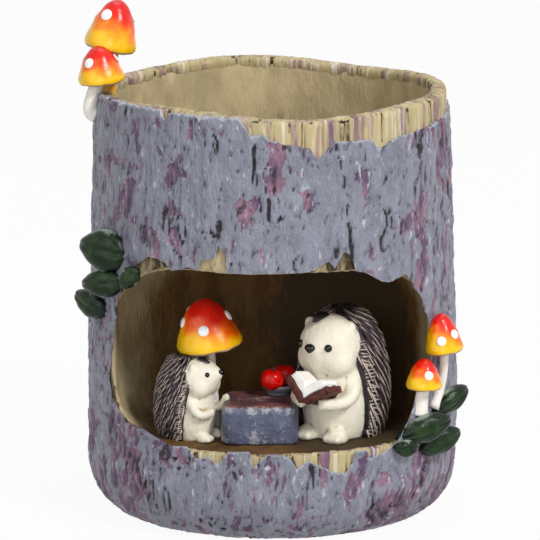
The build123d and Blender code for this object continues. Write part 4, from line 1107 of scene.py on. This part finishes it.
def quill_coat(figure, seed, count):
    """Dark coat of overlapping quills round the back, with a forelock over the brow."""
    dice = random.Random(seed)
    coat = egg(10.9, 32.4)
    cut = Vector((0, -math.cos(math.radians(7)), math.sin(math.radians(-7))))
    bmesh.ops.bisect_plane(
        coat, geom=coat.verts[:] + coat.edges[:] + coat.faces[:], plane_co=(0, -3.4, 0), plane_no=cut, clear_outer=True
    )
    bmesh.ops.holes_fill(coat, edges=coat.edges, sides=0)
    bmesh.ops.recalc_face_normals(coat, faces=coat.faces)
    layer = coat.verts.layers.float.new("relief")
    for vert in coat.verts:
        vert[layer] = 0.2
    golden = math.pi * (3 - math.sqrt(5))
    rows = []
    for i in range(count):
        share = 0.03 + 0.94 * (i + 0.5) / count
        turn = i * golden + dice.uniform(-0.05, 0.05)
        radius = egg_radius(11.0, share)
        point = Vector((radius * math.cos(turn), radius * math.sin(turn), 32.6 * share))
        if point.y > -3.6 - 0.12 * point.z:
            slope = (egg_radius(11.0, min(share + 0.02, 0.995)) - egg_radius(11.0, share - 0.02)) / (0.04 * 32.6)
            rows.append((point, Vector((math.cos(turn), math.sin(turn), -slope)).normalized()))
    tuft = len(rows)
    for i in range(7):
        rows.append((Vector((-1.6 + 0.3 * (i - 3), -8.3, 31.2)), Vector((0.05 * (i - 3), -0.515, 0.857))))
    for i, (point, out) in enumerate(rows):
        fall = Vector((0, 0.35, -1)) if i < tuft else Vector((0.06 * (tuft + 3 - i), -0.857, -0.7))
        along = (fall - out * fall.dot(out)).normalized()
        length = dice.uniform(3.0, 3.9) if i < tuft else 4.6
        hem = ease((0.4 - 0.12 * point.z - point.y) / 5)
        tone = 0.14 + dice.uniform(-0.1, 0.1) if i < tuft else 0.0
        quill(coat, layer, point, along, out, length, 0.95, tone, 0.4 if i < tuft else 0.1)
        if i < tuft and dice.random() < 0.62 + 0.3 * hem:
            quill(coat, layer, point + out * 0.42, along, out, length * 1.05, 0.3, 0.74 + 0.2 * hem, 0.25)
    steps = 34
    for i in range(steps):
        share = 0.04 + 0.9 * i / steps
        radius = egg_radius(11.0, share)
        back = -2.9 - 0.12 * 32.6 * share
        across = math.sqrt(max(radius * radius - back * back, 0.0))
        slope = (egg_radius(11.0, share + 0.02) - egg_radius(11.0, share - 0.02)) / (0.04 * 32.6)
        for hand in (-1, 1):
            point = Vector((hand * across, back, 32.6 * share))
            out = Vector((point.x / radius, point.y / radius, -slope)).normalized()
            sweep = Vector((0, 1, dice.uniform(-0.5, 0.1)))
            along = (sweep - out * sweep.dot(out)).normalized()
            quill(coat, layer, point + out * 0.3, along, out, dice.uniform(2.4, 3.4), 0.28, 0.85, 0.2)
    bmesh.ops.transform(coat, matrix=figure, verts=coat.verts)
    return coat


def hedgehog(name, place, turn, scale, pitch, look, snout, paws, seed, count, limbs):
    """One hedgehog: fur, quill coat, eyes and nose."""
    figure = Matrix.Translation((*place, DEN_FLOOR)) @ Matrix.Rotation(math.radians(turn), 4, "Z")
    figure = figure @ Matrix.Scale(scale, 4)
    nodes = [name + part for part in ("_body", "_ears", "_feet")] + [name + limb for limb in limbs]
    tilt = head_matrix(pitch, look)
    settle(name + "_fur", hedgehog_fur(figure, scale, tilt, snout, paws), [FUR_PAINT], "fur", *nodes)
    settle(name + "_quills", quill_coat(figure, seed, count), [QUILL_PAINT], "quills", name + "_quill_coat")
    head = figure @ tilt
    eyes = bmesh.new()
    for hand in (-1, 1):
        ball(eyes, (hand * 4.3, -6.5, 1.0), 1.0)
    bmesh.ops.transform(eyes, matrix=head, verts=eyes.verts)
    tag(eyes, relief=lambda vert: 0.5)
    settle(name + "_eye_beads", eyes, [EYE_PAINT], "eye", name + "_eyes")
    nose = bmesh.new()
    ball(nose, (0, -snout + 0.25, 0.8), 1.25, (1.2, 0.9, 0.85))
    ball(nose, (0, -snout + 0.1, 0.1), 0.7)
    nose = remeshed(nose, 0.2, smoothing=2)
    bmesh.ops.transform(nose, matrix=head, verts=nose.verts)
    tag(nose, relief=lambda vert: 0.5)
    settle(name + "_nose_bead", nose, [EYE_PAINT], "eye", name + "_nose")
    return figure


def open_book(figure):
    """Open book in the parent's paws: thick ragged boards under two thick blocks of pages."""
    pitch = math.radians(BOOK_PITCH)
    matrix = figure @ Matrix.Translation((0, -16.2, 11.4)) @ Matrix.Rotation(math.pi / 2 - pitch, 4, "X")
    cover = bmesh.new()
    pages = bmesh.new()
    for hand, opening in ((-1, 48), (1, 32)):
        slope = Vector((math.cos(math.radians(opening)), math.sin(math.radians(opening))))
        square = Vector((-slope.y, slope.x))
        for block, low, high, reach, deep in ((cover, -1.4, 0.4, 7.4, 7.6), (pages, 0.4, 2.3, 7.0, 6.8)):
            made = bmesh.ops.create_cube(block, size=1)["verts"]
            edges = list({edge for vert in made for edge in vert.link_edges})
            bmesh.ops.subdivide_edges(block, edges=edges, cuts=9, use_grid_fill=True)
        for block, low, high, reach, deep in ((cover, -1.4, 0.4, 7.4, 7.6), (pages, 0.4, 2.3, 7.0, 6.8)):
            fresh = [vert for vert in block.verts if not vert.tag]
            for vert in fresh:
                vert.tag = True
                t = vert.co.x + 0.5
                bow = 0.5 * math.sin(math.pi * t) * (vert.co.y + 0.5) if block is pages else 0.0
                across = slope * (reach * t) + square * (low + (high - low) * (vert.co.y + 0.5) + bow)
                vert.co = (hand * max(across.x, 0.0), across.y, vert.co.z * deep)
    for name, block, paints, slot, node in (
        ("book_cover_boards", cover, COVER_PAINT, "book_cover", "book_cover"),
        ("book_page_sheets", pages, PAGE_PAINT, "page", "book_pages"),
    ):
        block = remeshed(block, 0.3, smoothing=1)
        ragged = 0.5 if block is not None and slot == "book_cover" else 0.0
        lines = 0.0 if ragged else 0.16
        press(
            block,
            lambda place: ragged * noise.noise(place * 0.55) + lines * math.sin(5.2 * abs(place.x) - 7.0 * place.y),
            low=0.52, gain=0.9,
        )
        bmesh.ops.transform(block, matrix=matrix, verts=block.verts)
        settle(name, block, [paints], slot, node)


# Stage


def studio():
    """White floor, soft light and a camera at the photograph's angle."""
    bpy.context.scene.view_settings.view_transform = "Standard"
    world = bpy.data.worlds.new("Studio")
    bpy.context.scene.world = world
    world.use_nodes = True
    tree = world.node_tree
    path = add_node(tree, "ShaderNodeLightPath").outputs
    seen = maths(tree, "MAXIMUM", path["Is Camera Ray"], maths(tree, "MAXIMUM", path["Is Glossy Ray"], path["Is Transmission Ray"]))
    strength = maths(tree, "MULTIPLY_ADD", seen, 0.68)
    strength.node.inputs[2].default_value = 0.32
    sky = tree.nodes["Background"]
    sky.inputs["Color"].default_value = (1, 1, 1, 1)
    tree.links.new(strength, sky.inputs["Strength"])

    sheet = bmesh.new()
    bmesh.ops.create_grid(sheet, x_segments=1, y_segments=1, size=4.0)
    mesh = bpy.data.meshes.new("floor")
    sheet.to_mesh(mesh)
    sheet.free()
    floor = bpy.data.objects.new("floor", mesh)
    bpy.context.collection.objects.link(floor)
    material, tree, shader = new_material("White floor")
    shader.inputs["Base Color"].default_value = (0.7, 0.7, 0.7, 1)
    shader.inputs["Roughness"].default_value = 0.9
    path = add_node(tree, "ShaderNodeLightPath").outputs
    seen = maths(tree, "MAXIMUM", path["Is Camera Ray"], maths(tree, "MAXIMUM", path["Is Glossy Ray"], path["Is Transmission Ray"]))
    glow = add_node(tree, "ShaderNodeEmission", {"Color": (1, 1, 1, 1), "Strength": 1.0})
    share = maths(tree, "MULTIPLY", seen, 0.94)
    blend = add_node(tree, "ShaderNodeMixShader", {0: share, 1: shader.outputs[0], 2: glow.outputs[0]})
    tree.links.new(blend.outputs[0], tree.nodes["Material Output"].inputs["Surface"])
    mesh.materials.append(material)

    for name, place, size, power in (
        ("key", (0.75, -0.85, 1.05), 0.3, 16.0),
        ("front", (-0.1, -1.3, 0.35), 0.5, 2.4),
        ("fill", (-0.9, -0.9, 0.6), 0.9, 3.0),
        ("top", (0.1, 0.3, 1.2), 0.8, 4.0),
    ):
        lamp = bpy.data.lights.new(name, "AREA")
        lamp.energy = power
        lamp.size = size
        lit = bpy.data.objects.new(name, lamp)
        lit.location = place
        lit.rotation_euler = (Vector((0, 0, 0.06)) - Vector(place)).to_track_quat("-Z", "Y").to_euler()
        bpy.context.collection.objects.link(lit)

    camera = bpy.data.cameras.new("camera")
    camera.sensor_width = 36.0
    camera.lens = 324.5
    camera.clip_end = 20.0
    eye = bpy.data.objects.new("camera", camera)
    eye.location = (-0.0005, -1.2, 0.325)
    eye.rotation_euler = (Vector((-0.0005, 0, 0.0595)) - eye.location).to_track_quat("-Z", "Y").to_euler()
    bpy.context.collection.objects.link(eye)
    bpy.context.scene.camera = eye


studio()
stump_wood()
split_bands()
stump_bark()
toadstools()
leaves()
log_table()
dish_and_apples()
parent = hedgehog(
    "parent", (17.8, -21.0), -31.0, 1.0, 0.0, -9.0, 8.6, ((3.4, -15.0, 10.4), (3.4, -15.0, 10.4)), 3, 900,
    ("_left_arm", "_right_arm"),
)
open_book(parent)
hedgehog(
    "young", (-21.7, -26.0), 62.0, 0.66, 15.0, 0.0, 10.6, ((3.4, -12.6, 11.0), (5.2, -14.8, 15.4)), 5, 700,
    ("_near_arm", "_far_arm"),
)
